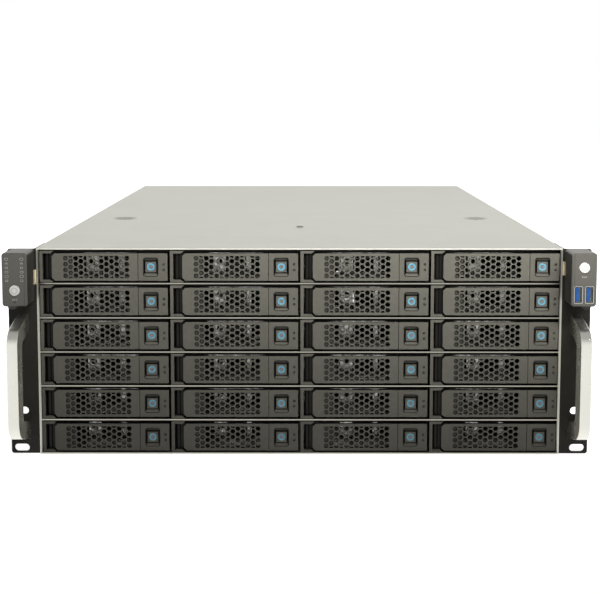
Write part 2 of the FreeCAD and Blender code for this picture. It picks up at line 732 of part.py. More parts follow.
def backplanes():
    """One board behind each row of bays, with an air window beside every socket."""
    boards = []
    for row in range(ROWS):
        low = board_floor(row)
        half = CAGE_HALF + CAGE_SIDE - BOARD_SIDE_GAP
        board = box((-half, Y_CAGE_REAR, low), (half, Y_CAGE_REAR + BOARD, low + BOARD_HEIGHT))
        cuts = []
        for column in range(COLUMNS):
            right = socket_left(column) - SOCKET_HEIGHT / 2
            window_low = low + (BOARD_HEIGHT - BOARD_WINDOW_HEIGHT) / 2
            corner = (right - BOARD_WINDOW_WIDTH, Y_CAGE_REAR, window_low)
            cuts.append(box(corner, (right, Y_CAGE_REAR + BOARD, window_low + BOARD_WINDOW_HEIGHT)))
        boards.append(board.cut(cuts))
    return Part.makeCompound(boards)


def backplane_connectors():
    """A drive socket in front of each bay's board, and a power plug behind every second one."""
    pieces = []
    for row in range(ROWS):
        low = board_floor(row) + SOCKET_FROM_FLOOR
        for column in range(COLUMNS):
            left = socket_left(column)
            pieces.append(box(
                (left, Y_CAGE_REAR - SOCKET_REACH, low),
                (left + SOCKET_WIDTH, Y_CAGE_REAR, low + SOCKET_HEIGHT),
            ))
            if column % 2 == 0:
                rear = Y_CAGE_REAR + BOARD
                pieces.append(box(
                    (left, rear, low),
                    (left + POWER_PLUG_WIDTH, rear + POWER_PLUG_REACH, low + POWER_PLUG_HEIGHT),
                ))
    return Part.makeCompound(pieces)


# Fan wall

def fan_centre_x(index):
    """Middle of a fan across the case."""
    return (index - (FAN_COUNT - 1) / 2) * FAN_PITCH


def fan_screw_places(index):
    """Corner screw holes of a fan."""
    reach = FAN_SIZE / 2 - FAN_SCREW_INSET
    x = fan_centre_x(index)
    return [(x + i * reach, FAN_CENTRE_Z + k * reach) for i in (-1, 1) for k in (-1, 1)]


def fan_wall():
    """Cross wall that carries the fans, with a top flange under the cover's seam."""
    inner = HALF_WIDTH - STEEL
    wall = box((-inner, FAN_WALL_Y, STEEL), (inner, FAN_WALL_Y + STEEL, TOP - STEEL))
    half = HALF_WIDTH - DISH_FROM_SIDE - DISH_RADIUS - FAN_WALL_FLANGE_GAP
    flange = box((-half, FAN_WALL_Y - FAN_WALL_FLANGE, TOP - STEEL), (half, FAN_WALL_Y + STEEL, TOP))
    wall = fused([wall, flange])
    cuts = []
    for index in range(FAN_COUNT):
        cuts.append(cylinder_y(FAN_BORE, STEEL, fan_centre_x(index), FAN_WALL_Y, FAN_CENTRE_Z))
        cuts += [cylinder_y(FAN_SCREW_RADIUS, STEEL, x, FAN_WALL_Y, z) for x, z in fan_screw_places(index)]
    reach = DISH_RADIUS + DISH_CLEARANCE
    notch_low = BODY_HEIGHT - DISH_DEPTH - STEEL - DISH_CLEARANCE
    for x, y in dish_places():
        cuts.append(box((x - reach, FAN_WALL_Y, notch_low), (x + reach, FAN_WALL_Y + STEEL, TOP)))
    return wall.cut(cuts)


def fan_frames():
    """Square frames with a motor seat on struts at the outlet side."""
    front = FAN_WALL_Y + STEEL
    rear = front + FAN_DEPTH
    frames = []
    for index in range(FAN_COUNT):
        x = fan_centre_x(index)
        shell = extruded(
            [rectangle_y(x, FAN_CENTRE_Z, FAN_SIZE, FAN_SIZE, front, FAN_CORNER)], (0, FAN_DEPTH, 0)
        )
        cuts = [cylinder_y(FAN_BORE, FAN_DEPTH, x, front, FAN_CENTRE_Z)]
        cuts += [cylinder_y(FAN_SCREW_RADIUS, FAN_DEPTH, sx, front, sz) for sx, sz in fan_screw_places(index)]
        shell = shell.cut(cuts)
        seat = cylinder_y(ROTOR_HUB, STRUT_DEPTH, x, rear - STRUT_DEPTH, FAN_CENTRE_Z)
        shaft_front = rear - STRUT_DEPTH - SHAFT_LENGTH
        shaft = cylinder_y(SHAFT_RADIUS, SHAFT_LENGTH, x, shaft_front, FAN_CENTRE_Z)
        struts = []
        for i in range(STRUT_COUNT):
            strut = box(
                (x - STRUT_WIDTH / 2, rear - STRUT_DEPTH, FAN_CENTRE_Z),
                (x + STRUT_WIDTH / 2, rear, FAN_CENTRE_Z + FAN_BORE + SHAFT_CLEARANCE),
            )
            strut.rotate(Vector(x, 0, FAN_CENTRE_Z), Vector(0, 1, 0), 45 + i * 360 / STRUT_COUNT)
            struts.append(strut)
        frames.append(fused([shell, seat, shaft] + struts))
    return Part.makeCompound(frames)


def blade_section(radius, angle):
    """A blade's cross-section at one radius, set at an angle to the fan's axis."""
    chord = ROTOR_CHORD / 2
    half = ROTOR_BLADE_SHEET / 2
    turn = math.radians(angle)
    points = []
    for along, across in ((-chord, -half), (chord, -half), (chord, half), (-chord, half)):
        x = along * math.sin(turn) - across * math.cos(turn)
        y = along * math.cos(turn) + across * math.sin(turn)
        points.append((x, y, radius))
    return outline(points)


def fan_rotor(index):
    """Hub and twisted blades, bored for the motor's shaft from behind."""
    front = FAN_WALL_Y + STEEL + ROTOR_SETBACK
    x = fan_centre_x(index)
    hub = cylinder_y(ROTOR_HUB, ROTOR_DEPTH, 0, 0, 0)
    tip = FAN_BORE - ROTOR_TIP_GAP
    sections = [
        blade_section(ROTOR_HUB - ROTOR_ROOT_SINK, ROTOR_ROOT_ANGLE),
        blade_section(tip, ROTOR_TIP_ANGLE),
    ]
    blade = Part.makeLoft(sections, True)
    blade.translate(Vector(0, ROTOR_DEPTH / 2, 0))
    shell = cylinder_y(tip, ROTOR_DEPTH, 0, 0, 0)
    blades = []
    for i in range(ROTOR_BLADES):
        copy = blade.copy()
        copy.rotate(Vector(0, 0, 0), Vector(0, 1, 0), ROTOR_REST_TURN + i * 360 / ROTOR_BLADES)
        blades.append(copy.common(shell))
    rotor = fused([hub] + blades)
    shaft_front = FAN_DEPTH - STRUT_DEPTH - SHAFT_LENGTH - ROTOR_SETBACK - SHAFT_CLEARANCE
    bore = cylinder_y(SHAFT_RADIUS + SHAFT_CLEARANCE, ROTOR_DEPTH - shaft_front, 0, shaft_front, 0)
    return moved(rotor.cut(bore), x, front, FAN_CENTRE_Z)


# Ears, handles and controls; right-hand ones are modelled and the left-hand ones mirrored

def ear_slot_heights():
    """Heights of the rack slots below the control housing."""
    return [hole - RACK_GAP_BELOW for hole in (RACK_FIRST_HOLE, RACK_THIRD_HOLE)]


def ear_screw_heights():
    """Heights of the screws that hold an ear to the side wall."""
    step = (BODY_HEIGHT - 2 * EAR_SCREW_MARGIN) / (EAR_SCREWS - 1)
    return [EAR_SCREW_MARGIN + i * step for i in range(EAR_SCREWS)]


def rack_ear():
    """Angle bracket: slotted flange and a leg along the side wall."""
    low, high = EAR_TRIM, BODY_HEIGHT - EAR_TRIM
    edge = RACK_WIDTH / 2
    points = [(HALF_WIDTH, EAR_FRONT, low), (edge, EAR_FRONT, low)]
    points += [(edge, EAR_FRONT, high), (HALF_WIDTH, EAR_FRONT, high)]
    flange = extruded([outline(points, [0, EAR_CORNER, EAR_CORNER, 0])], (0, EAR_SHEET, 0))
    leg = box((HALF_WIDTH, EAR_FRONT, low), (HALF_WIDTH + EAR_SHEET, EAR_LEG, high))
    ear = fused([flange, leg])
    x = RACK_WIDTH / 2 - RACK_HOLE_FROM_EDGE
    cuts = [
        slot_y(x, z, RACK_SLOT_LENGTH, RACK_SLOT_WIDTH, EAR_FRONT, EAR_SHEET)
        for z in ear_slot_heights()
    ]
    return ear.cut(cuts)


def rack_handle():
    """Bow handle: a grip on two splayed arms, with softened edges."""
    foot, grip = EAR_FRONT, EAR_FRONT - HANDLE_REACH
    inside = grip + HANDLE_GRIP
    x = RACK_WIDTH / 2 - HANDLE_FROM_EDGE - HANDLE_WIDTH
    def arm(low, high, y):
        return low + (high - low) * (foot - y) / HANDLE_REACH
    low, high = HANDLE_FOOT_LOW, HOUSING_LOW - HANDLE_BELOW_HOUSING
    low_inner, high_inner = low + HANDLE_FOOT, high - HANDLE_FOOT
    points = [
        (x, foot, low),
        (x, grip, low + HANDLE_LOW_SPLAY),
        (x, grip, high - HANDLE_HIGH_SPLAY),
        (x, foot, high),
        (x, foot, high_inner),
        (x, inside, arm(high_inner, high_inner - HANDLE_HIGH_SPLAY, inside)),
        (x, inside, arm(low_inner, low_inner + HANDLE_LOW_SPLAY, inside)),
        (x, foot, low_inner),
    ]
    inner = HANDLE_INNER_RADIUS
    radii = [0, HANDLE_LOW_RADIUS, HANDLE_HIGH_RADIUS, 0, 0, inner, inner, 0]
    bow = extruded([outline(points, radii)], (HANDLE_WIDTH, 0, 0))
    rim = [e for e in bow.Edges if e.BoundBox.XLength < 1e-6 and e.BoundBox.YMin < foot - HANDLE_EDGE]
    return bow.makeFillet(min(HANDLE_EDGE, HANDLE_WIDTH / 4), rim)


def control_housing():
    """Moulded box in front of the ear's top, with a fixing lug below it."""
    low = HOUSING_LOW
    middle = HOUSING_TOP - HOUSING_HEIGHT / 2
    edge = HOUSING_EDGE
    def section(inset, y):
        width, height = HOUSING_WIDTH - 2 * inset, HOUSING_HEIGHT - 2 * inset
        return rectangle_y(HOUSING_CENTRE, middle, width, height, y, HOUSING_CORNER - inset)
    body = extruded([section(0, HOUSING_FRONT + edge)], (0, HOUSING_DEPTH - edge, 0))
    nose = Part.makeLoft([section(edge, HOUSING_FRONT), section(0, HOUSING_FRONT + edge)], True)
    lug_x = HOUSING_OUTER - LUG_FROM_EDGE
    lug = cylinder_y(LUG_RADIUS, LUG_DEPTH, lug_x, EAR_FRONT - LUG_DEPTH, low + LUG_DROP)
    groove_x = HOUSING_OUTER - HOUSING_WIDTH + HOUSING_GROOVE_FROM_EDGE
    groove = box(
        (groove_x, HOUSING_FRONT, low),
        (groove_x + HOUSING_GROOVE, HOUSING_FRONT + HOUSING_GROOVE, HOUSING_TOP),
    )
    return fused([body, nose, lug]).cut(groove)


def push_well(x, z):
    """Round well for a push button."""
    return cylinder_y(PUSH_RADIUS + PUSH_GAP, PUSH_WELL, x, HOUSING_FRONT, z)


def push_button(x, z):
    """Round push button with a bevelled rim."""
    front = HOUSING_FRONT - PUSH_PROUD
    rim = Part.makeCone(PUSH_RADIUS - PUSH_EDGE, PUSH_RADIUS, PUSH_EDGE, Vector(x, front, z), Vector(0, 1, 0))
    stem = cylinder_y(PUSH_RADIUS, PUSH_LENGTH - PUSH_EDGE, x, front + PUSH_EDGE, z)
    return fused([rim, stem])


def left_control_housing():
    """Left housing: power button, pinhole and two columns of lamps."""
    x = -HOUSING_CENTRE
    cuts = [push_well(x, HOUSING_TOP - POWER_PUSH_FROM_TOP)]
    reset_z = HOUSING_TOP - RESET_HOLE_FROM_TOP
    cuts.append(cylinder_y(RESET_HOLE_RADIUS, RESET_HOLE_DEPTH, x, HOUSING_FRONT, reset_z))
    for side in (-1, 1):
        for i in range(PANEL_LAMP_COUNT):
            z = HOUSING_TOP - PANEL_LAMP_FROM_TOP - i * PANEL_LAMP_PITCH
            lamp_x = x + side * PANEL_LAMP_SPREAD / 2
            cuts.append(cylinder_y(PANEL_LAMP_RADIUS, PANEL_LAMP_DEPTH, lamp_x, HOUSING_FRONT, z))
    return mirrored(control_housing()).cut(cuts)


def right_control_housing():
    """Right housing: identification button and two upright serial-bus sockets."""
    cuts = [push_well(HOUSING_CENTRE, HOUSING_TOP - IDENT_PUSH_FROM_TOP)]
    for x in usb_places():
        width, height = USB_WIDTH + 2 * USB_GAP, USB_HEIGHT + 2 * USB_GAP
        mouth = rectangle_y(x, usb_height(), width, height, HOUSING_FRONT, USB_CORNER + USB_GAP)
        cuts.append(extruded([mouth], (0, USB_DEPTH, 0)))
    return control_housing().cut(cuts)


def usb_places():
    """Middle of each serial-bus socket across the case."""
    return [HOUSING_CENTRE + side * USB_PITCH / 2 for side in (-1, 1)]


def usb_height():
    """Middle of the serial-bus sockets above the floor."""
    return HOUSING_TOP - USB_FROM_TOP


def usb_sockets():
    """Folded shells with a contact tongue in each."""
    pieces = []
    for x in usb_places():
        z = usb_height()
        outer = rectangle_y(x, z, USB_WIDTH, USB_HEIGHT, HOUSING_FRONT, USB_CORNER)
        bore_width, bore_height = USB_WIDTH - 2 * USB_WALL, USB_HEIGHT - 2 * USB_WALL
        inner = rectangle_y(x, z, bore_width, bore_height, HOUSING_FRONT, USB_CORNER - USB_WALL)
        shell = extruded([outer], (0, USB_DEPTH, 0))
        shell = shell.cut(extruded([inner], (0, USB_DEPTH - USB_WALL, 0)))
        left = x - USB_TONGUE_SHIFT - USB_TONGUE_WIDTH / 2
        low = z - USB_TONGUE_HEIGHT / 2
        tongue = box(
            (left, HOUSING_FRONT + USB_TONGUE_SETBACK, low),
            (left + USB_TONGUE_WIDTH, HOUSING_FRONT + USB_DEPTH - USB_WALL, low + USB_TONGUE_HEIGHT),
        )
        pieces += [shell, tongue]
    return Part.makeCompound(pieces)


# Power supplies

def psu_floor(index):
    """Underside of a power module; index 0 is the lower one."""
    return STEEL + PSU_SLIDE_GAP + index * PSU_PITCH


def psu_stack_top():
    """Top of the room for the power modules."""
    return psu_floor(PSU_COUNT - 1) + PSU_HEIGHT + PSU_SLIDE_GAP


def psu_front():
    """Front end of the power modules inside the case."""
    return Y_REAR - PSU_DEPTH


def psu_cage():
    """Wall beside the power modules, with a shelf over each."""
    front = psu_front() - PSU_CAGE_EXTRA
    rear = Y_REAR - STEEL
    left = PSU_LEFT - PSU_SLIDE_GAP - PSU_CAGE_SHEET
    right = HALF_WIDTH - STEEL
    wall = box((left, front, STEEL), (left + PSU_CAGE_SHEET, rear, psu_stack_top() + PSU_CAGE_SHEET))
    shelves = []
    for index in range(PSU_COUNT):
        low = psu_floor(index) + PSU_HEIGHT + PSU_SLIDE_GAP
        shelves.append(box((left, front, low), (right, rear, low + PSU_CAGE_SHEET)))
    return fused([wall] + shelves)


def power_board():
    """Distribution board that the power modules plug into."""
    rear = psu_front() - PSU_CAGE_EXTRA
    left = PSU_LEFT - PSU_SLIDE_GAP - PSU_CAGE_SHEET
    board = box((left, rear - BOARD, STEEL), (left + PSU_WIDTH, rear, psu_stack_top()))
    sockets = []
    for index in range(PSU_COUNT):
        low = psu_floor(index) + (PSU_HEIGHT - POWER_SOCKET_HEIGHT) / 2
        socket_left_x = PSU_LEFT + (PSU_WIDTH - POWER_SOCKET_WIDTH) / 2
        reach = rear + PSU_CAGE_EXTRA - PSU_SLIDE_GAP
        sockets.append(box(
            (socket_left_x, rear, low),
            (socket_left_x + POWER_SOCKET_WIDTH, reach, low + POWER_SOCKET_HEIGHT),
        ))
    return Part.makeCompound([board] + sockets)


def psu_module(index):
    """Plug-in power module: case, mains inlet, pull handle and release tab."""
    left, low, front = PSU_LEFT, psu_floor(index), psu_front()
    case = box((left, front, low), (left + PSU_WIDTH, Y_REAR, low + PSU_HEIGHT))
    inlet_x = left + PSU_WIDTH - INLET_FROM_RIGHT - INLET_WIDTH / 2
    inlet_z = low + PSU_HEIGHT / 2
    mouth_y = Y_REAR - INLET_DEPTH
    mouth = rectangle_y(inlet_x, inlet_z, INLET_WIDTH, INLET_HEIGHT, mouth_y, INLET_CORNER)
    case = case.cut(extruded([mouth], (0, INLET_DEPTH, 0)))
    pins = []
    for i in (-1, 0, 1):
        x = inlet_x + i * INLET_PIN_SPACING
        wire = rectangle_y(x, inlet_z, INLET_PIN_WIDTH, INLET_PIN_HEIGHT, mouth_y)
        pins.append(extruded([wire], (0, INLET_PIN_LENGTH, 0)))
    handle_left = left + PSU_HANDLE_FROM_LEFT
    z = low + (PSU_HEIGHT - PSU_HANDLE_HEIGHT) / 2
    tab_left = handle_left + PSU_HANDLE_WIDTH + LATCH_GAP
    tab_low = low + (PSU_HEIGHT - LATCH_HEIGHT) / 2
    tab = box(
        (tab_left, Y_REAR, tab_low),
        (tab_left + LATCH_SHEET, Y_REAR + LATCH_REACH, tab_low + LATCH_HEIGHT),
    )
    return Part.makeCompound([case, pull_handle(handle_left, z), tab] + pins)


def pull_handle(left, z):
    """Loop that a power module is drawn out by."""
    def loop(inset):
        near, far = left + inset, left + PSU_HANDLE_WIDTH - inset
        out = Y_REAR + PSU_HANDLE_REACH - inset
        points = [(near, Y_REAR, z), (far, Y_REAR, z), (far, out, z), (near, out, z)]
        radius = PSU_HANDLE_BAR - inset / 2
        wire = outline(points, [0, 0, radius, radius])
        return extruded([wire], (0, 0, PSU_HANDLE_HEIGHT))
    return loop(0).cut(loop(PSU_HANDLE_BAR))


# Small parts

def slot_covers():
    """Blanking plates inside the rear panel, one over each expansion slot."""
    covers = []
    rear = Y_REAR - STEEL
    low = STEEL + SLOT_FROM_FLOOR - SLOT_COVER_OVERLAP
    high = STEEL + SLOT_FROM_FLOOR + SLOT_HEIGHT + SLOT_COVER_OVERLAP
    half = SLOT_WIDTH / 2 + SLOT_COVER_OVERLAP
    for x in slot_centres():
        plate = box((x - half, rear - SLOT_COVER_SHEET, low), (x + half, rear, high))
        foot = box((x - half, rear - SLOT_COVER_FOOT, high - SLOT_COVER_SHEET), (x + half, rear, high))
        covers.append(fused([plate, foot]))
    return Part.makeCompound(covers)


def standoffs():
    """Hexagonal posts for the main board."""
    posts = []
    corner = STANDOFF_ACROSS_FLATS / 2 / math.cos(math.pi / 6)
    board_side = io_left() + IO_WIDTH + MAIN_BOARD_PAST_IO
    board_rear = Y_REAR - STEEL - MAIN_BOARD_REAR_GAP
    for across in STANDOFFS_FROM_SIDE:
        for along in STANDOFFS_FROM_REAR:
            x, y = board_side - across, board_rear - along
            turns = [math.radians(60 * i) for i in range(6)]
            points = [(x + corner * math.cos(t), y + corner * math.sin(t), STEEL) for t in turns]
            post = extruded([outline(points)], (0, 0, STANDOFF_HEIGHT))
            bore = Part.makeCylinder(STANDOFF_BORE, STANDOFF_HEIGHT, Vector(x, y, STEEL))
            posts.append(post.cut(bore))
    return Part.makeCompound(posts)


def fasteners():
    """Screw heads on the front top and on both ears' legs."""
    heads = [screw_head(0, TOP_SCREW_Y, BODY_HEIGHT)]
    for z in ear_screw_heights():
        head = screw_head(0, 0, 0)
        head.rotate(Vector(0, 0, 0), Vector(0, 1, 0), 90)
        head.translate(Vector(HALF_WIDTH + EAR_SHEET, EAR_LEG - EAR_SCREW_FROM_REAR, z))
        heads += [head, mirrored(head)]
    return Part.makeCompound(heads)


def build():
    """Every piece of the case by its node's name."""
    nodes = {
        "chassis_base": chassis_base(),
        "rear_panel": rear_panel(),
        "front_cover": front_cover(),
        "rear_cover": rear_cover(),
        "cage_shelves": cage_shelves(),
        "cage_walls": cage_walls(),
        "backplanes": backplanes(),
        "backplane_connectors": backplane_connectors(),
        "fan_wall": fan_wall(),
        "fan_frames": fan_frames(),
        "right_ear": rack_ear(),
        "left_ear": mirrored(rack_ear()),
        "rack_handles": Part.makeCompound([rack_handle(), mirrored(rack_handle())]),
        "left_control_housing": left_control_housing(),
        "right_control_housing": right_control_housing(),
        "power_button": push_button(-HOUSING_CENTRE, HOUSING_TOP - POWER_PUSH_FROM_TOP),
        "ident_button": push_button(HOUSING_CENTRE, HOUSING_TOP - IDENT_PUSH_FROM_TOP),
        "usb_sockets": usb_sockets(),
        "psu_cage": psu_cage(),
        "power_board": power_board(),
        "psu_lower": psu_module(0),
        "psu_upper": psu_module(1),
        "slot_covers": slot_covers(),
        "standoffs": standoffs(),
        "fasteners": fasteners(),
    }
    for index in range(FAN_COUNT):
        nodes[f"fan_rotor_{index + 1}"] = fan_rotor(index)
    frame = [tray_bezel()] + tray_rails() + [tray_stop()]
    lever, button = tray_lever(), tray_button()
    for row in range(ROWS):
        for column in range(COLUMNS):
            place = tray_place(row, column)
            name = f"r{row + 1}c{column + 1}"
            pieces = list(frame)
            if row == 0:
                nodes[f"lever_{name}"] = moved(lever, *place)
                nodes[f"tray_button_{name}"] = moved(button, *place)
            else:
                pieces += [lever, button]
            nodes[f"tray_{name}"] = moved(Part.makeCompound(pieces), *place)
    return nodes


os.makedirs("parts", exist_ok=True)
for node, shape in build().items():
    shape.exportStep(os.path.join("parts", node + ".step"))
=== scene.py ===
"""Looks of a four-unit rackmount server case with twenty-four front drive trays."""

import functools
import logging
import math
from dataclasses import dataclass
from enum import Enum
from typing import Callable, Sequence

import bmesh
import bpy
from mathutils import Matrix, Vector


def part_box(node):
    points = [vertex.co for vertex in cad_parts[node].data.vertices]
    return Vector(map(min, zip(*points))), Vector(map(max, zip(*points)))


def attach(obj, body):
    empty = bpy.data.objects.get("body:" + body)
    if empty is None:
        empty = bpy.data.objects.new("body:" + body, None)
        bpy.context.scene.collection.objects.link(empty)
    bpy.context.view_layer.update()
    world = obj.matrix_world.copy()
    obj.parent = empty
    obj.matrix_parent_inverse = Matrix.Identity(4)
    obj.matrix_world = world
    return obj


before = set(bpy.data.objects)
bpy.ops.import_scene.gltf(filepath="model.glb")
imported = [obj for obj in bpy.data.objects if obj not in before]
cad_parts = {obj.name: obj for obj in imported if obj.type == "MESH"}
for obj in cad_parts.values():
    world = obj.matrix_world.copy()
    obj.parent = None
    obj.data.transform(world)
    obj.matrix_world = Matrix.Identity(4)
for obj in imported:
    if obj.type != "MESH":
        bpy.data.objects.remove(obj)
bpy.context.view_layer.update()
LOG = logging.getLogger("server_case")
MM = 0.001
WELD = 1e-7  # points nearer than this are one
FACING = 0.9  # part of a normal that makes its face look one way
ROWS, COLUMNS = 6, 4
SIDES = (("left", -1), ("right", 1))
Shade = tuple[int, int, int]
Pair = tuple[float, float]
Point = tuple[float, float, float]
Chooser = Callable[[Vector, Vector], int]


def tone(shade: Shade) -> tuple[float, float, float, float]:
    """Give the linear colour of a screen shade, by the standard screen curve.

    Args:
        shade: Red, green and blue from 0 to 255.

    Returns:
        Linear red, green, blue and a full alpha.
    """
    linear = []
    for step in shade:
        part = step / 255
        linear.append(part / 12.92 if part <= 0.04045 else ((part + 0.055) / 1.055) ** 2.4)
    return (linear[0], linear[1], linear[2], 1.0)


@functools.cache
def node_box(node: str) -> tuple[Vector, Vector]:
    """Find a node's lowest and highest corners once."""
    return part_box(node)


def front_middle(node: str) -> Vector:
    """Find the middle of a node's front."""
    low, high = node_box(node)
    return Vector(((low.x + high.x) / 2, low.y, (low.z + high.z) / 2))


# Surfaces

class Effect(Enum):
    """Surface effects that several finishes share, each one node group."""

    GRAIN = "moulded_grain"
    STREAKS = "drawn_streaks"
    SMUDGES = "handling_smudges"
    EDGES = "rounded_edges"
    DUST = "settled_dust"
    # Painted shade in hollows, from how open the view from each point is.
    PAINTED_RECESS_SHADE = "painted_recess_shade"


class Bench:
    """Places and joins the nodes of one shader tree."""

    mix_inputs: Sequence[int] = (0, 6, 7)
    mix_result: int = 2

    def __init__(self, tree: bpy.types.NodeTree) -> None:
        """Start on an emptied tree."""
        self.tree = tree
        tree.nodes.clear()

    def feed(self, socket: bpy.types.NodeSocket, value: object) -> None:
        """Give a socket a value, or join another socket to it.

        Args:
            socket: The input to feed.
            value: A constant, or an output socket.
        """
        if isinstance(value, bpy.types.NodeSocket):
            self.tree.links.new(value, socket)
        else:
            socket.default_value = value

    def put(self, kind: str, settings: dict[str, object] | None = None,
            **inputs: object) -> bpy.types.Node:
        """Place a shader node.

        Args:
            kind: Node type after its common prefix.
            settings: Properties of the node itself.
            inputs: Values or sockets by input name, underscores for spaces.

        Returns:
            The placed node.
        """
        node = self.tree.nodes.new("ShaderNode" + kind)
        for name, value in (settings or {}).items():
            setattr(node, name, value)
        for name, value in inputs.items():
            self.feed(node.inputs[name.replace("_", " ")], value)
        return node

    def maths(self, operation: str, first: object, second: object, third: object = 0.0,
              clamp: bool = True) -> bpy.types.NodeSocket:
        """Place a calculation with values.

        Args:
            operation: The node's operation.
            first: First value or socket.
            second: Second value or socket.
            third: Third value or socket, for operations that take one.
            clamp: Whether the result is kept between 0 and 1.

        Returns:
            The result's socket.
        """
        node = self.put("Math", {"operation": operation, "use_clamp": clamp})
        for socket, value in zip(node.inputs, (first, second, third)):
            self.feed(socket, value)
        return node.outputs[0]

    def vectors(self, operation: str, first: object, second: object) -> bpy.types.Node:
        """Place a calculation with two vectors.

        Args:
            operation: The node's operation.
            first: First vector or socket.
            second: Second vector or socket.

        Returns:
            The placed node.
        """
        node = self.put("VectorMath", {"operation": operation})
        for socket, value in zip(node.inputs, (first, second)):
            self.feed(socket, value)
        return node

    def spread(self, value: object, low: object, high: object, start: float = 0.0,
               stop: float = 1.0) -> bpy.types.NodeSocket:
        """Map a range of a value to another range.

        Args:
            value: The socket to map.
            low: Value that gives start.
            high: Value that gives stop.
            start: Lowest result.
            stop: Highest result.

        Returns:
            The result's socket.
        """
        node = self.put(
            "MapRange", Value=value, From_Min=low, From_Max=high, To_Min=start, To_Max=stop
        )
        return node.outputs[0]

    def mixed(self, factor: object, first: object, second: object) -> bpy.types.NodeSocket:
        """Mix two colours.

        Args:
            factor: Share of the second colour.
            first: First colour or socket.
            second: Second colour or socket.

        Returns:
            The mixed colour's socket.
        """
        node = self.put("Mix", {"data_type": "RGBA"})
        for number, value in zip(self.mix_inputs, (factor, first, second)):
            self.feed(node.inputs[number], value)
        return node.outputs[self.mix_result]

    def place(self) -> bpy.types.NodeSocket:
        """Place the coordinates of the object itself."""
        return self.put("TexCoord").outputs["Object"]

    def effect(self, effect: Effect, **inputs: object) -> bpy.types.Node:
        """Place a shared effect with its own values, by the names of its inputs."""
        return self.put("Group", {"node_tree": EffectGroup.find(effect)}, **inputs)


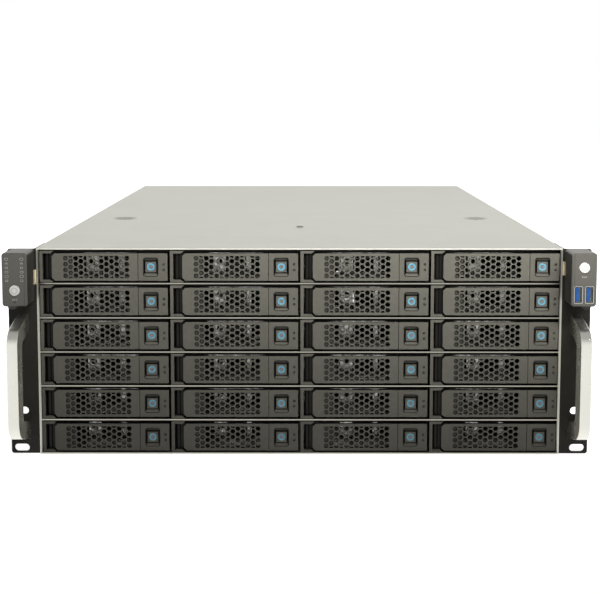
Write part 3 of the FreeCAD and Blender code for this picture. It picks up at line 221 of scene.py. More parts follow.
class EffectGroup:
    """Wires the node group of one shared effect."""

    cell_share: float = 0.45
    broad_scale: float = 0.11
    band_scale: float = 0.06
    shade_range: Pair = (0.3, 0.7)
    smudge_range: Pair = (0.38, 0.72)
    chip_scale: float = 420.0
    chip_range: Pair = (0.42, 0.6)
    worn_range: Pair = (0.03, 0.25)
    level_range: Pair = (0.5, 1.0)
    speck_scale: float = 160.0
    speck_range: Pair = (0.35, 0.75)
    open_view: float = 0.85

    def __init__(self, tree: bpy.types.NodeTree) -> None:
        """Start on an emptied group."""
        self.tree = tree
        self.bench = Bench(tree)

    @classmethod
    def find(cls, effect: Effect) -> bpy.types.NodeTree:
        """Find an effect's node group, or build it once.

        Args:
            effect: Which effect.

        Returns:
            Its node group.
        """
        known = bpy.data.node_groups.get(effect.value)
        if known:
            return known
        group = cls(bpy.data.node_groups.new(effect.value, "ShaderNodeTree"))
        makers = {
            Effect.GRAIN: group.grain, Effect.STREAKS: group.streaks,
            Effect.SMUDGES: group.smudges, Effect.EDGES: group.edges,
            Effect.DUST: group.dust, Effect.PAINTED_RECESS_SHADE: group.recess_painted_shade,
        }
        makers[effect]()
        return group.tree

    def sockets(self, inputs: Sequence[str],
                outputs: Sequence[str]) -> tuple[bpy.types.NodeOutputs, bpy.types.NodeInputs]:
        """Give the group its named sockets.

        Args:
            inputs: Names of value inputs; one that ends in Axes is a vector.
            outputs: Names of value outputs; one that ends in Normal is a vector.

        Returns:
            The sockets with the given values, and those that take the results.
        """
        for names, way in ((inputs, "INPUT"), (outputs, "OUTPUT")):
            for name in names:
                vector = name.endswith(("Axes", "Normal"))
                kind = "NodeSocketVector" if vector else "NodeSocketFloat"
                self.tree.interface.new_socket(name, in_out=way, socket_type=kind)
        nodes = self.tree.nodes
        return nodes.new("NodeGroupInput").outputs, nodes.new("NodeGroupOutput").inputs

    def grain(self) -> None:
        """Wire the fine pebbled grain of a mould or of sprayed paint."""
        bench = self.bench
        given, result = self.sockets(("Scale",), ("Height", "Shade"))
        place, scale = bench.place(), given["Scale"]
        fine = bench.put("TexNoise", Vector=place, Scale=scale, Detail=3.0, Roughness=0.6)
        cells = bench.put("TexVoronoi", Vector=place, Scale=scale).outputs["Distance"]
        rise = bench.maths("MULTIPLY_ADD", cells, self.cell_share, fine.outputs[0])
        wide = bench.maths("MULTIPLY", scale, self.broad_scale, clamp=False)
        broad = bench.put("TexNoise", Vector=place, Scale=wide, Detail=2.0)
        bench.feed(result["Height"], rise)
        bench.feed(result["Shade"], bench.spread(broad.outputs[0], *self.shade_range))

    def streaks(self) -> None:
        """Wire the fine lines that rolling or brushing leaves on metal."""
        bench = self.bench
        given, result = self.sockets(("Axes",), ("Height", "Shade"))
        drawn = bench.vectors("MULTIPLY", bench.place(), given["Axes"]).outputs[0]
        lines = bench.put("TexNoise", Vector=drawn, Scale=1.0, Detail=4.0, Roughness=0.65)
        bands = bench.put("TexNoise", Vector=drawn, Scale=self.band_scale, Detail=2.0)
        bench.feed(result["Height"], lines.outputs[0])
        bench.feed(result["Shade"], bench.spread(bands.outputs[0], *self.shade_range))

    def smudges(self) -> None:
        """Wire the uneven patches that handling leaves."""
        bench = self.bench
        given, result = self.sockets(("Scale",), ("Mask",))
        cloud = bench.put(
            "TexNoise", Vector=bench.place(), Scale=given["Scale"], Detail=3.0, Distortion=0.7
        )
        bench.feed(result["Mask"], bench.spread(cloud.outputs[0], *self.smudge_range))

    def edges(self) -> None:
        """Wire the rounding of sharp edges and the wear along them."""
        bench = self.bench
        given, result = self.sockets(("Radius",), ("Rounded Normal", "Wear"))
        rounded = bench.put("Bevel", {"samples": 4}, Radius=given["Radius"]).outputs[0]
        flat = bench.put("NewGeometry").outputs["Normal"]
        match = bench.vectors("DOT_PRODUCT", rounded, flat)
        turned = bench.maths("SUBTRACT", 1.0, match.outputs["Value"])
        chips = bench.put("TexNoise", Vector=bench.place(), Scale=self.chip_scale, Detail=3.0)
        broken = bench.spread(chips.outputs[0], *self.chip_range)
        worn = bench.spread(turned, *self.worn_range)
        bench.feed(result["Rounded Normal"], rounded)
        bench.feed(result["Wear"], bench.maths("MULTIPLY", worn, broken))

    def dust(self) -> None:
        """Wire the thin dust that settles on faces that look up."""
        bench = self.bench
        given, result = self.sockets(("Amount",), ("Mask",))
        upright = bench.put("SeparateXYZ", Vector=bench.put("NewGeometry").outputs["Normal"])
        level = bench.spread(upright.outputs["Z"], *self.level_range)
        specks = bench.put(
            "TexNoise", Vector=bench.place(), Scale=self.speck_scale, Detail=5.0, Roughness=0.7
        )
        lying = bench.spread(specks.outputs[0], *self.speck_range)
        cover = bench.maths("MULTIPLY", level, lying)
        bench.feed(result["Mask"], bench.maths("MULTIPLY", cover, given["Amount"]))

    def recess_painted_shade(self) -> None:
        """Wire painted shade that darkens where a surface lies deep between others."""
        bench = self.bench
        given, result = self.sockets(("Reach", "Depth", "Amount"), ("Mask",))
        view = bench.put("AmbientOcclusion", {"samples": 6}, Distance=given["Reach"])
        painted_shade = bench.spread(view.outputs["AO"], self.open_view, given["Depth"])
        bench.feed(result["Mask"], bench.maths("MULTIPLY", painted_shade, given["Amount"]))


class Texture(Enum):
    """How a surface was made."""

    MOULDED = "moulded"
    ROLLED_ACROSS = "rolled across the case"
    ROLLED_ALONG = "rolled along the case"
    BRUSHED_UPRIGHT = "brushed upright"


STREAK_AXES = {
    Texture.ROLLED_ACROSS: (9.0, 700.0, 700.0),
    Texture.ROLLED_ALONG: (700.0, 9.0, 500.0),
    Texture.BRUSHED_UPRIGHT: (1500.0, 1500.0, 60.0),
}
SMUDGE_SCALE = 22.0
SMUDGE_SHARE = 0.5
SMUDGE_SWING = 0.06
BUMP_STRENGTH = 0.6
DUST_ROUGHNESS = 0.4
DUST_SHADE: Shade = (196, 190, 172)
# Colour of the painted shade in hollows.
PAINTED_DEEP_SHADE: Shade = (9, 8, 7)


@dataclass(frozen=True)
class Finish:
    """One surface finish: the shared effects, each in its own measure.

    Lengths are in millimetres and shades in screen values. Recess, reach and depth set the painted
    shade where a surface lies deep between others.
    """

    name: str
    colour: Shade
    patch: Shade
    roughness: float
    metallic: float = 0.0
    texture: Texture = Texture.MOULDED
    grain: float = 1600.0
    relief: float = 0.012
    uneven: float = 0.3
    smudged: float = 1.0
    edge: float = 0.3
    worn: Shade = (150, 148, 140)
    wear: float = 0.25
    dust: float = 0.12
    shine: float = 0.5
    coat: float = 0.0
    # Share, reach and depth of the painted shade in hollows.
    recess_painted_shade: float = 0.0
    reach: float = 8.0
    depth: float = 0.3

    def texture_node(self, bench: Bench) -> bpy.types.Node:
        """Place the effect that gives the surface its relief.

        Args:
            bench: The material's bench.

        Returns:
            A node with Height and Shade outputs.
        """
        if self.texture is Texture.MOULDED:
            return bench.effect(Effect.GRAIN, Scale=self.grain)
        return bench.effect(Effect.STREAKS, Axes=STREAK_AXES[self.texture])

    def material(self) -> bpy.types.Material:
        """Find the finish's material, or build it.

        Returns:
            The material.
        """
        known = bpy.data.materials.get(self.name)
        if known:
            return known
        material = bpy.data.materials.new(self.name)
        material.use_nodes = True
        bench = Bench(material.node_tree)
        texture = self.texture_node(bench).outputs
        smudge = bench.effect(Effect.SMUDGES, Scale=SMUDGE_SCALE).outputs["Mask"]
        edges = bench.effect(Effect.EDGES, Radius=self.edge * MM).outputs
        dust = bench.effect(Effect.DUST, Amount=self.dust).outputs["Mask"]
        share = SMUDGE_SHARE * self.smudged
        patches = bench.maths("MULTIPLY_ADD", smudge, share, texture["Shade"])
        patches = bench.maths("MULTIPLY", patches, self.uneven)
        colour = bench.mixed(patches, tone(self.colour), tone(self.patch))
        wear = bench.maths("MULTIPLY", edges["Wear"], self.wear)
        colour = bench.mixed(wear, colour, tone(self.worn))
        colour = bench.mixed(dust, colour, tone(DUST_SHADE))
        # Painted shade: darker where the surface lies deep between others.
        if self.recess_painted_shade:
            painted_shade = bench.effect(
                Effect.PAINTED_RECESS_SHADE, Reach=self.reach * MM, Depth=self.depth, Amount=self.recess_painted_shade
            )
            colour = bench.mixed(painted_shade.outputs["Mask"], colour, tone(PAINTED_DEEP_SHADE))
        swing = SMUDGE_SWING * self.smudged
        rough = bench.spread(smudge, 0.0, 1.0, self.roughness - swing, self.roughness + swing)
        rough = bench.maths("MULTIPLY_ADD", dust, DUST_ROUGHNESS, rough)
        bump = bench.put(
            "Bump", Strength=BUMP_STRENGTH, Distance=self.relief * MM,
            Height=texture["Height"], Normal=edges["Rounded Normal"],
        )
        shader = bench.put(
            "BsdfPrincipled", Base_Color=colour, Roughness=rough, Metallic=self.metallic,
            Specular_IOR_Level=self.shine, Coat_Weight=self.coat, Normal=bump.outputs[0],
        )
        bench.put("OutputMaterial", Surface=shader.outputs[0])
        return material


# Finishes of this case

SHELL_STEEL = Finish(
    "zinc_sheet", (208, 206, 193), (196, 194, 181), 0.36, 0.92, Texture.ROLLED_ACROSS,
    relief=0.004, uneven=0.16, smudged=0.15, worn=(226, 225, 218), wear=0.5, dust=0.03,
)
# A lighter copy of the zinc sheet for the cover's front lip: a painted highlight.
LIP_PAINTED_HIGHLIGHT = Finish(
    "zinc_sheet_lip_painted_highlight", (226, 225, 213), (216, 214, 202), 0.4, 0.6, Texture.ROLLED_ACROSS,
    relief=0.004, uneven=0.16, smudged=0.15, worn=(248, 247, 240), wear=0.5, dust=0.0,
)
SIDE_STEEL = Finish(
    "zinc_sheet_sides", (198, 197, 187), (182, 181, 171), 0.38, 0.92, Texture.ROLLED_ALONG,
    relief=0.004, uneven=0.2, smudged=0.15, worn=(226, 225, 218), wear=0.5, dust=0.05,
)
CAGE_STEEL = Finish(
    "cage_sheet", (190, 187, 174), (150, 147, 136), 0.32, 0.95, Texture.ROLLED_ACROSS,
    relief=0.005, uneven=0.5, edge=0.2, worn=(235, 234, 226), wear=0.5, dust=0.05,
    recess_painted_shade=0.97, reach=24.0, depth=0.5,
)
RAIL_STEEL = Finish(
    "tray_rail_sheet", (205, 203, 194), (178, 176, 168), 0.28, 0.95, Texture.ROLLED_ALONG,
    relief=0.004, edge=0.2, worn=(236, 235, 228), wear=0.5, dust=0.05,
    recess_painted_shade=0.97, reach=24.0, depth=0.5,
)
# Front of the tray's stop plate: its bright and near-black blotches are painted glints, seen
# through the vents.
STOP_PAINTED_GLINTS = Finish(
    "tray_stop_painted_glints", (254, 252, 244), (62, 59, 53), 0.2, 0.92,
    grain=1900.0, relief=0.02, uneven=0.9, smudged=0.4, wear=0.0, dust=0.0,
)
TRAY_PLASTIC = Finish(
    "tray_bezel_plastic", (92, 90, 82), (82, 80, 73), 0.5,
    grain=2600.0, uneven=0.5, edge=0.28, worn=(140, 138, 130), wear=0.35, dust=0.1,
    shine=0.2, recess_painted_shade=0.95,
)
LEVER_PLASTIC = Finish(
    "lever_plastic", (94, 92, 84), (84, 82, 75), 0.48,
    grain=2600.0, uneven=0.5, edge=0.25, worn=(144, 142, 134), wear=0.35, dust=0.1,
    shine=0.2, recess_painted_shade=0.95,
)
# Near-black plastic for the hinge slot, the sides and rim of the button's pocket and the seam
# round it: painted shade for the shadow in them.
PAINTED_SHADE_PLASTIC = Finish(
    "hinge_painted_shade_plastic", (26, 25, 22), (20, 19, 17), 0.5,
    grain=2600.0, uneven=0.5, edge=0.2, worn=(70, 68, 64), wear=0.2, dust=0.05,
    shine=0.2, recess_painted_shade=0.9,
)
BUTTON_PLASTIC = Finish(
    "release_button_plastic", (88, 86, 80), (76, 74, 70), 0.4,
    grain=3000.0, relief=0.008, uneven=0.4, edge=0.35, worn=(150, 148, 142), wear=0.4,
    dust=0.05, shine=0.3, recess_painted_shade=0.95, reach=4.0,
)
RING_BLUE = Finish(
    "ring_light_guide", (78, 138, 160), (94, 154, 172), 0.3,
    grain=2500.0, relief=0.004, uneven=0.6, edge=0.12, worn=(160, 208, 224), wear=0.3,
    dust=0.0, coat=0.3,
)
RING_HEART = Finish(
    "ring_heart_lens", (104, 101, 100), (90, 88, 90), 0.3,
    grain=2500.0, relief=0.004, uneven=0.5, edge=0.12, wear=0.1, dust=0.0, coat=0.5,
)
LAMP_PIPE = Finish(
    "lamp_pipe_smoked", (52, 51, 48), (66, 64, 60), 0.18,
    grain=2500.0, relief=0.003, uneven=0.5, edge=0.15, worn=(130, 128, 122), wear=0.2,
    dust=0.0, coat=0.6,
)
EAR_PAINT = Finish(
    "ear_powder_paint", (38, 36, 31), (30, 28, 24), 0.55,
    grain=1500.0, relief=0.03, uneven=0.5, worn=(128, 125, 116), wear=0.3, dust=0.1, shine=0.2,
)
HANDLE_ALLOY = Finish(
    "handle_satin_alloy", (236, 235, 225), (222, 220, 210), 0.3, 0.95, Texture.BRUSHED_UPRIGHT,
    relief=0.008, uneven=0.35, worn=(240, 240, 236), wear=0.4, dust=0.03,
)
HOUSING_PLASTIC = Finish(
    "housing_plastic", (84, 82, 75), (75, 73, 67), 0.48,
    grain=2200.0, relief=0.016, uneven=0.5, edge=0.4, worn=(132, 130, 122), wear=0.3, shine=0.2,
)
# A darker copy of the housing plastic for each housing's side towards the middle of the case:
# painted shade.
HOUSING_FLANK_PAINTED_SHADE = Finish(
    "housing_plastic_flank_painted_shade", (56, 54, 49), (48, 46, 42), 0.55,
    grain=2200.0, relief=0.02, uneven=0.5, edge=0.4, worn=(120, 118, 110), wear=0.3,
    dust=0.1, shine=0.2,
)
BUTTON_WHITE = Finish(
    "push_button_white", (214, 213, 207), (204, 203, 197), 0.32,
    grain=2400.0, relief=0.005, uneven=0.4, worn=(214, 212, 205), wear=0.2, dust=0.03, coat=0.3,
)
BUTTON_RING = Finish(
    "push_button_ring", (176, 176, 171), (166, 166, 161), 0.36,
    grain=2400.0, relief=0.004, uneven=0.4, edge=0.1, wear=0.1, dust=0.0,
)
MARK_PRINT = Finish(
    "pale_print", (164, 162, 153), (148, 146, 138), 0.5,
    grain=3000.0, relief=0.004, uneven=0.5, edge=0.05, wear=0.1, dust=0.0, shine=0.3,
)
SOCKET_STEEL = Finish(
    "socket_nickel", (214, 213, 208), (190, 189, 184), 0.2, 1.0, Texture.ROLLED_ALONG,
    relief=0.003, edge=0.15, worn=(240, 240, 236), wear=0.4, dust=0.03,
)
SOCKET_BLUE = Finish(
    "socket_tongue_blue", (20, 80, 142), (10, 46, 94), 0.3,
    grain=2600.0, relief=0.004, uneven=0.6, edge=0.5, worn=(80, 150, 215), wear=0.4, dust=0.0,
    recess_painted_shade=0.85, reach=5.0, depth=0.15,
)
FILM_TAN = Finish(
    "ribbon_film_tan", (200, 186, 154), (178, 162, 128), 0.34, 0.0, Texture.BRUSHED_UPRIGHT,
    relief=0.01, uneven=0.6, edge=0.1, worn=(222, 204, 164), wear=0.3, dust=0.0, coat=0.4,
)
BOARD_GREEN = Finish(
    "board_green", (32, 78, 52), (26, 66, 44), 0.34,
    grain=900.0, relief=0.02, uneven=0.5, edge=0.15, worn=(150, 158, 110), wear=0.3,
    dust=0.1, coat=0.4,
)
CONNECTOR_BLACK = Finish(
    "connector_black", (34, 34, 34), (42, 42, 42), 0.4,
    grain=2400.0, relief=0.01, edge=0.2, worn=(90, 90, 88), dust=0.1, shine=0.4,
)
PLUG_IVORY = Finish(
    "power_plug_nylon", (226, 222, 206), (212, 207, 190), 0.4,
    grain=2000.0, relief=0.008, worn=(236, 233, 222), wear=0.2, dust=0.05,
)
FAN_BLACK = Finish(
    "fan_plastic", (38, 38, 38), (46, 46, 45), 0.42,
    grain=2000.0, worn=(96, 96, 94), dust=0.2, shine=0.4,
)
PSU_STEEL = Finish(
    "module_case_sheet", (178, 178, 172), (160, 160, 154), 0.34, 0.95, Texture.ROLLED_ALONG,
    relief=0.005, worn=(228, 228, 222), wear=0.5, dust=0.05,
)
POST_BRASS = Finish(
    "stand_off_brass", (196, 164, 92), (178, 146, 78), 0.28, 1.0, Texture.BRUSHED_UPRIGHT,
    relief=0.004, edge=0.2, worn=(226, 200, 136), wear=0.5, dust=0.08,
)
SCREW_STEEL = Finish(
    "screw_nickel", (188, 187, 182), (160, 159, 154), 0.26, 1.0,
    grain=1800.0, relief=0.004, edge=0.25, worn=(234, 233, 228), wear=0.5, dust=0.05,
)


# Pieces

def dress(node: str, finishes: Sequence[Finish], choose: Chooser | None = None) -> None:
    """Give a CAD node its finishes.

    Args:
        node: The node's name.
        finishes: Its finishes, the first being the main one.
        choose: Finish number from a face's middle and normal.
    """
    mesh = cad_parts[node].data
    mesh.materials.clear()
    for finish in finishes:
        mesh.materials.append(finish.material())
    numbers = [0] * len(mesh.polygons)
    if choose:
        numbers = [choose(face.center, face.normal) for face in mesh.polygons]
    mesh.polygons.foreach_set("material_index", numbers)
    mesh.update()
    LOG.info("%s dressed in %s", node, ", ".join(finish.name for finish in finishes))


def rectangle(wide: float, tall: float) -> list[Pair]:
    """List the corners of a rectangle about its middle."""
    return [(x * wide / 2, z * tall / 2) for x, z in ((-1, -1), (1, -1), (1, 1), (-1, 1))]


def lens_profile(radius: float, dome: Sequence[Pair], back: float) -> list[Pair]:
    """Draw a round lens: its dome, in shares of the radius and depths, then its back."""
    return [(radius * share, depth) for share, depth in dome] + [(radius, back), (0, back)]


class Shaper:
    """A mesh under work that becomes one finished piece."""

    def __init__(self) -> None:
        """Start with nothing."""
        self.mesh = bmesh.new()

    @staticmethod
    def line(work: bmesh.types.BMesh,
             places: Sequence[Point]) -> tuple[list[bmesh.types.BMVert], list[bmesh.types.BMEdge]]:
        """Lay a line of edges through places, and give its points and edges."""
        points = [work.verts.new(place) for place in places]
        return points, [work.edges.new(pair) for pair in zip(points, points[1:])]

    @staticmethod
    def shift(work: bmesh.types.BMesh, raised: dict[str, list], way: Point) -> None:
        """Move the points that an extrusion raised."""
        moved = [item for item in raised["geom"] if isinstance(item, bmesh.types.BMVert)]
        bmesh.ops.translate(work, verts=moved, vec=way)

    def spun(self, profile: Sequence[Pair], centre: Point | Vector, steps: int,
             finish: Callable[[float], int] | None = None) -> None:
        """Spin a profile about an axis along Y.

        Args:
            profile: Radius and Y place of each point, from the axis outwards.
            centre: Where the axis passes, in metres.
            steps: Steps of a full turn.
            finish: Finish number from a face's distance to the axis.
        """
        work = bmesh.new()
        points, rims = self.line(work, [(radius, y, 0) for radius, y in profile])
        bmesh.ops.spin(
            work, geom=points + rims, cent=(0, 0, 0), axis=(0, 1, 0), angle=math.tau,
            steps=steps, use_merge=True,
        )
        bmesh.ops.remove_doubles(work, verts=work.verts, dist=WELD)
        bmesh.ops.dissolve_degenerate(work, dist=WELD, edges=work.edges)
        bmesh.ops.recalc_face_normals(work, faces=work.faces)
        for face in work.faces:
            face.smooth = True
            middle = face.calc_center_median()
            face.material_index = finish(math.hypot(middle.x, middle.z)) if finish else 0
        self.take(work, Matrix.Translation(centre))

    def plate(self, outline: Sequence[Pair], place: Point, thickness: float,
              rim: float = 0.0, number: int = 0, corner: float = 0.0) -> None:
        """Add a flat mark or plate that faces the front.

        Args:
            outline: Corners across and up, in metres, about its place.
            place: Middle of its back, in metres.
            thickness: How far it stands forward.
            rim: Width of its line where it is only an outline, else 0.
            number: Its finish number.
            corner: Radius of its corners.
        """
        work = bmesh.new()
        work.faces.new([work.verts.new((x, 0, z)) for x, z in outline])
        if corner:
            bmesh.ops.bevel(
                work, geom=list(work.verts), offset=corner, affect="VERTICES", segments=5,
                profile=0.5, material=-1,
            )
        work.normal_update()
        face = max(work.faces, key=lambda part: part.calc_area())
        if rim:
            bmesh.ops.inset_individual(work, faces=[face], thickness=rim, use_even_offset=True)
            bmesh.ops.delete(work, geom=[face], context="FACES_ONLY")
        raised = bmesh.ops.extrude_face_region(work, geom=list(work.faces))
        self.shift(work, raised, (0, -thickness, 0))
        bmesh.ops.recalc_face_normals(work, faces=work.faces)
        for part in work.faces:
            part.material_index = number
        self.take(work, Matrix.Translation(place))

    def take(self, work: bmesh.types.BMesh, matrix: Matrix) -> None:
        """Add another mesh to this one.

        Args:
            work: The mesh, which is used up.
            matrix: Where it goes.
        """
        bmesh.ops.transform(work, matrix=matrix, verts=work.verts)
        passing = bpy.data.meshes.new("passing")
        work.to_mesh(passing)
        work.free()
        self.mesh.from_mesh(passing)
        bpy.data.meshes.remove(passing)

    def piece(self, name: str, body: str, finishes: Sequence[Finish]) -> None:
        """Finish the mesh as a piece that rides on a body.

        Args:
            name: The piece's name.
            body: Body that carries it.
            finishes: Finishes by number.
        """
        data = bpy.data.meshes.new(name)
        self.mesh.to_mesh(data)
        self.mesh.free()
        for finish in finishes:
            data.materials.append(finish.material())
        made = bpy.data.objects.new(name, data)
        bpy.context.scene.collection.objects.link(made)
        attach(made, body)
        LOG.info("%s built on %s, %d faces", name, body, len(data.polygons))


# Sub-assemblies

@dataclass
class Shell:
    """Sheet-metal case: base, covers, rear panel and small parts."""

    screw_reach: float = 4.2 * MM
    screw_base: float = 0.17201
    tail_rear: float = 0.6882
    dish_from_side: float = 38.0 * MM
    dish_from_seam: float = 14.7 * MM

    def cover_part(self, middle: Vector, normal: Vector) -> int:
        """Tell the rear cover's screws from its sheet.

        Args:
            middle: A face's middle.
            normal: Its normal.

        Returns:
            1 for a screw, else 0.
        """
        low, high = node_box("rear_cover")
        across = abs(middle.x) - high.x + self.dish_from_side
        away = math.hypot(across, middle.y - low.y - self.dish_from_seam)
        in_dish = away < self.screw_reach and middle.z > self.screw_base
        return int(in_dish or middle.y > self.tail_rear)

    def dress(self) -> None:
        """Give every sheet its finish."""
        dress("chassis_base", (SIDE_STEEL,))
        # The cover's face towards the front gets the painted highlight.
        dress(
            "front_cover", (SHELL_STEEL, LIP_PAINTED_HIGHLIGHT),
            lambda middle, normal: int(normal.y < -FACING),
        )
        dress("rear_cover", (SHELL_STEEL, SCREW_STEEL), self.cover_part)
        dress("rear_panel", (SHELL_STEEL,))
        dress("slot_covers", (PSU_STEEL,))
        dress("standoffs", (POST_BRASS,))
        dress("fasteners", (SCREW_STEEL,))


@dataclass
class DriveCage:
    """Shelves and walls between the trays, and the boards behind them."""

    board_front: float = 0.19
    plug_margin: float = 0.5 * MM

    def dress(self) -> None:
        """Give the cage and its boards their finishes."""
        dress("cage_shelves", (CAGE_STEEL,))
        dress("cage_walls", (CAGE_STEEL,))
        dress("backplanes", (BOARD_GREEN,))
        dress(
            "backplane_connectors", (CONNECTOR_BLACK, PLUG_IVORY),
            lambda middle, normal: int(middle.y > self.board_front + self.plug_margin),
        )


@dataclass
class DriveTray:
    """One tray: bezel, lever, release button, light ring and lamp pipes."""

    row: int
    column: int
    bezel_depth: float = 12.01 * MM
    stop_front: float = 26.9 * MM
    stop_back: float = 28.1 * MM
    post_width: float = 2.65 * MM
    lever_left: float = 10.15 * MM
    slot_front: float = 0.9 * MM
    pocket_half: float = 6.3 * MM
    pocket_slope: float = 0.5
    button_half: float = 4.85 * MM
    button_recess: float = 0.75 * MM
    ring_outer: float = 3.25 * MM
    ring_inner: float = 1.8 * MM
    ring_rise: float = 0.22 * MM
    ring_shoulder: Sequence[Pair] = ((0.1 * MM, 0.8), (0.35 * MM, 1.0))
    lens_dome: Sequence[Pair] = ((0.0, 0.55), (0.6, 0.5), (1.0, 0.15))
    pipe_radius: float = 1.02 * MM
    pipe_from_button: float = 10.7 * MM
    pipe_spacing: float = 4.6 * MM
    pipe_length: float = 9.0 * MM
    pipe_recess: float = 0.25 * MM
    pipe_dome: Sequence[Pair] = ((0, 0), (0.5, 0.1 * MM), (0.85, 0.35 * MM), (1.0, 0.75 * MM))
    seam_size: Pair = (12.7 * MM, 16.0 * MM)
    seam_line: float = 0.55 * MM
    seam_rise: float = 0.03 * MM
    seam_corner: float = 2.2 * MM

    @property
    def name(self) -> str:
        """Row and column as the nodes write them."""
        return f"r{self.row}c{self.column}"

    def corner(self) -> Vector:
        """Find the tray's lowest corner."""
        return node_box(f"tray_{self.name}")[0]

    def button_middle(self) -> Vector:
        """Find the middle of this tray's button front from the top row's button.

        Returns:
            The place in metres.
        """
        place = front_middle(f"tray_button_r1c{self.column}")
        drop = self.corner() - node_box(f"tray_r1c{self.column}")[0]
        return Vector((place.x, place.y, place.z + drop.z))

    def tray_part(self, middle: Vector, normal: Vector) -> int:
        """Tell the front's plastic from the painted shade in the hinge slot and the button's
        pocket, the rails and the stop plate.

        Args:
            middle: A face's middle.
            normal: Its normal.

        Returns:
            0 for plastic, 1 for the painted shade of the hinge slot and the button's sides and
            rim, 2 for a rail and 3 for the front of the stop plate, which has painted glints.
        """
        corner, button = self.corner(), self.button_middle()
        depth, across = middle.y - corner.y, middle.x - corner.x
        if depth > self.bezel_depth:
            # Only the stop plate's front gets the painted glints.
            stop = normal.y < -FACING and self.stop_front < depth < self.stop_back
            return 3 if stop else 2
        hinge = self.post_width < across < self.lever_left and depth > self.slot_front
        away = max(abs(middle.x - button.x), abs(middle.z - button.z))
        pocket = away < self.pocket_half and abs(normal.x) > self.pocket_slope and depth > 0
        rim = away < self.button_half and depth > self.button_recess
        return int(hinge and abs(normal.z) < FACING or pocket or rim)

    def dress(self) -> None:
        """Give the tray's plastic and steel their finishes."""
        plastic = TRAY_PLASTIC if self.row == 1 else LEVER_PLASTIC
        # The second finish is painted shade in the hinge slot and the button's pocket.
        finishes = (plastic, PAINTED_SHADE_PLASTIC, RAIL_STEEL, STOP_PAINTED_GLINTS)
        dress(f"tray_{self.name}", finishes, self.tray_part)
        if self.row == 1:
            dress(f"lever_{self.name}", (LEVER_PLASTIC, PAINTED_SHADE_PLASTIC), self.tray_part)
            dress(f"tray_button_{self.name}", (BUTTON_PLASTIC, PAINTED_SHADE_PLASTIC), self.tray_part)

    def build_ring(self) -> None:
        """Build the blue light ring and the lens within it, on the button's front."""
        outer, inner, rise = self.ring_outer, self.ring_inner, self.ring_rise
        profile = [(inner * share, -rise * height) for share, height in self.lens_dome]
        profile += [(inner + step, -rise * height) for step, height in self.ring_shoulder]
        profile += [(outer - step, -rise * height) for step, height in self.ring_shoulder[::-1]]
        profile += [(outer, 0.0)]
        work = Shaper()
        work.spun(profile, self.button_middle(), steps=40, finish=lambda away: int(away < inner))
        body = f"tray_button_{self.name}" if self.row == 1 else f"tray_{self.name}"
        work.piece(f"light_ring_{self.name}", body, (RING_BLUE, RING_HEART))

    def build_pipes(self) -> None:
        """Build the two domed lamp pipes and the seam round the button's pocket, a dark line of
        painted shade.
        """
        place, front = self.button_middle(), self.corner().y
        profile = lens_profile(self.pipe_radius, self.pipe_dome, self.pipe_length)
        work = Shaper()
        for side in (-1, 1):
            z = place.z + side * self.pipe_spacing / 2
            centre = (place.x + self.pipe_from_button, front + self.pipe_recess, z)
            work.spun(profile, centre, steps=20)
        work.plate(
            rectangle(*self.seam_size), (place.x, front, place.z), self.seam_rise,
            rim=self.seam_line, number=1, corner=self.seam_corner,
        )
        finishes = (LAMP_PIPE, PAINTED_SHADE_PLASTIC)
        work.piece(f"lamp_pipes_{self.name}", f"tray_{self.name}", finishes)


@dataclass
class Ears:
    """Rack ears and bow handles."""

    def dress(self) -> None:
        """Give the ears and handles their finishes."""
        for side, _ in SIDES:
            dress(f"{side}_ear", (EAR_PAINT,))
        dress("rack_handles", (HANDLE_ALLOY,))


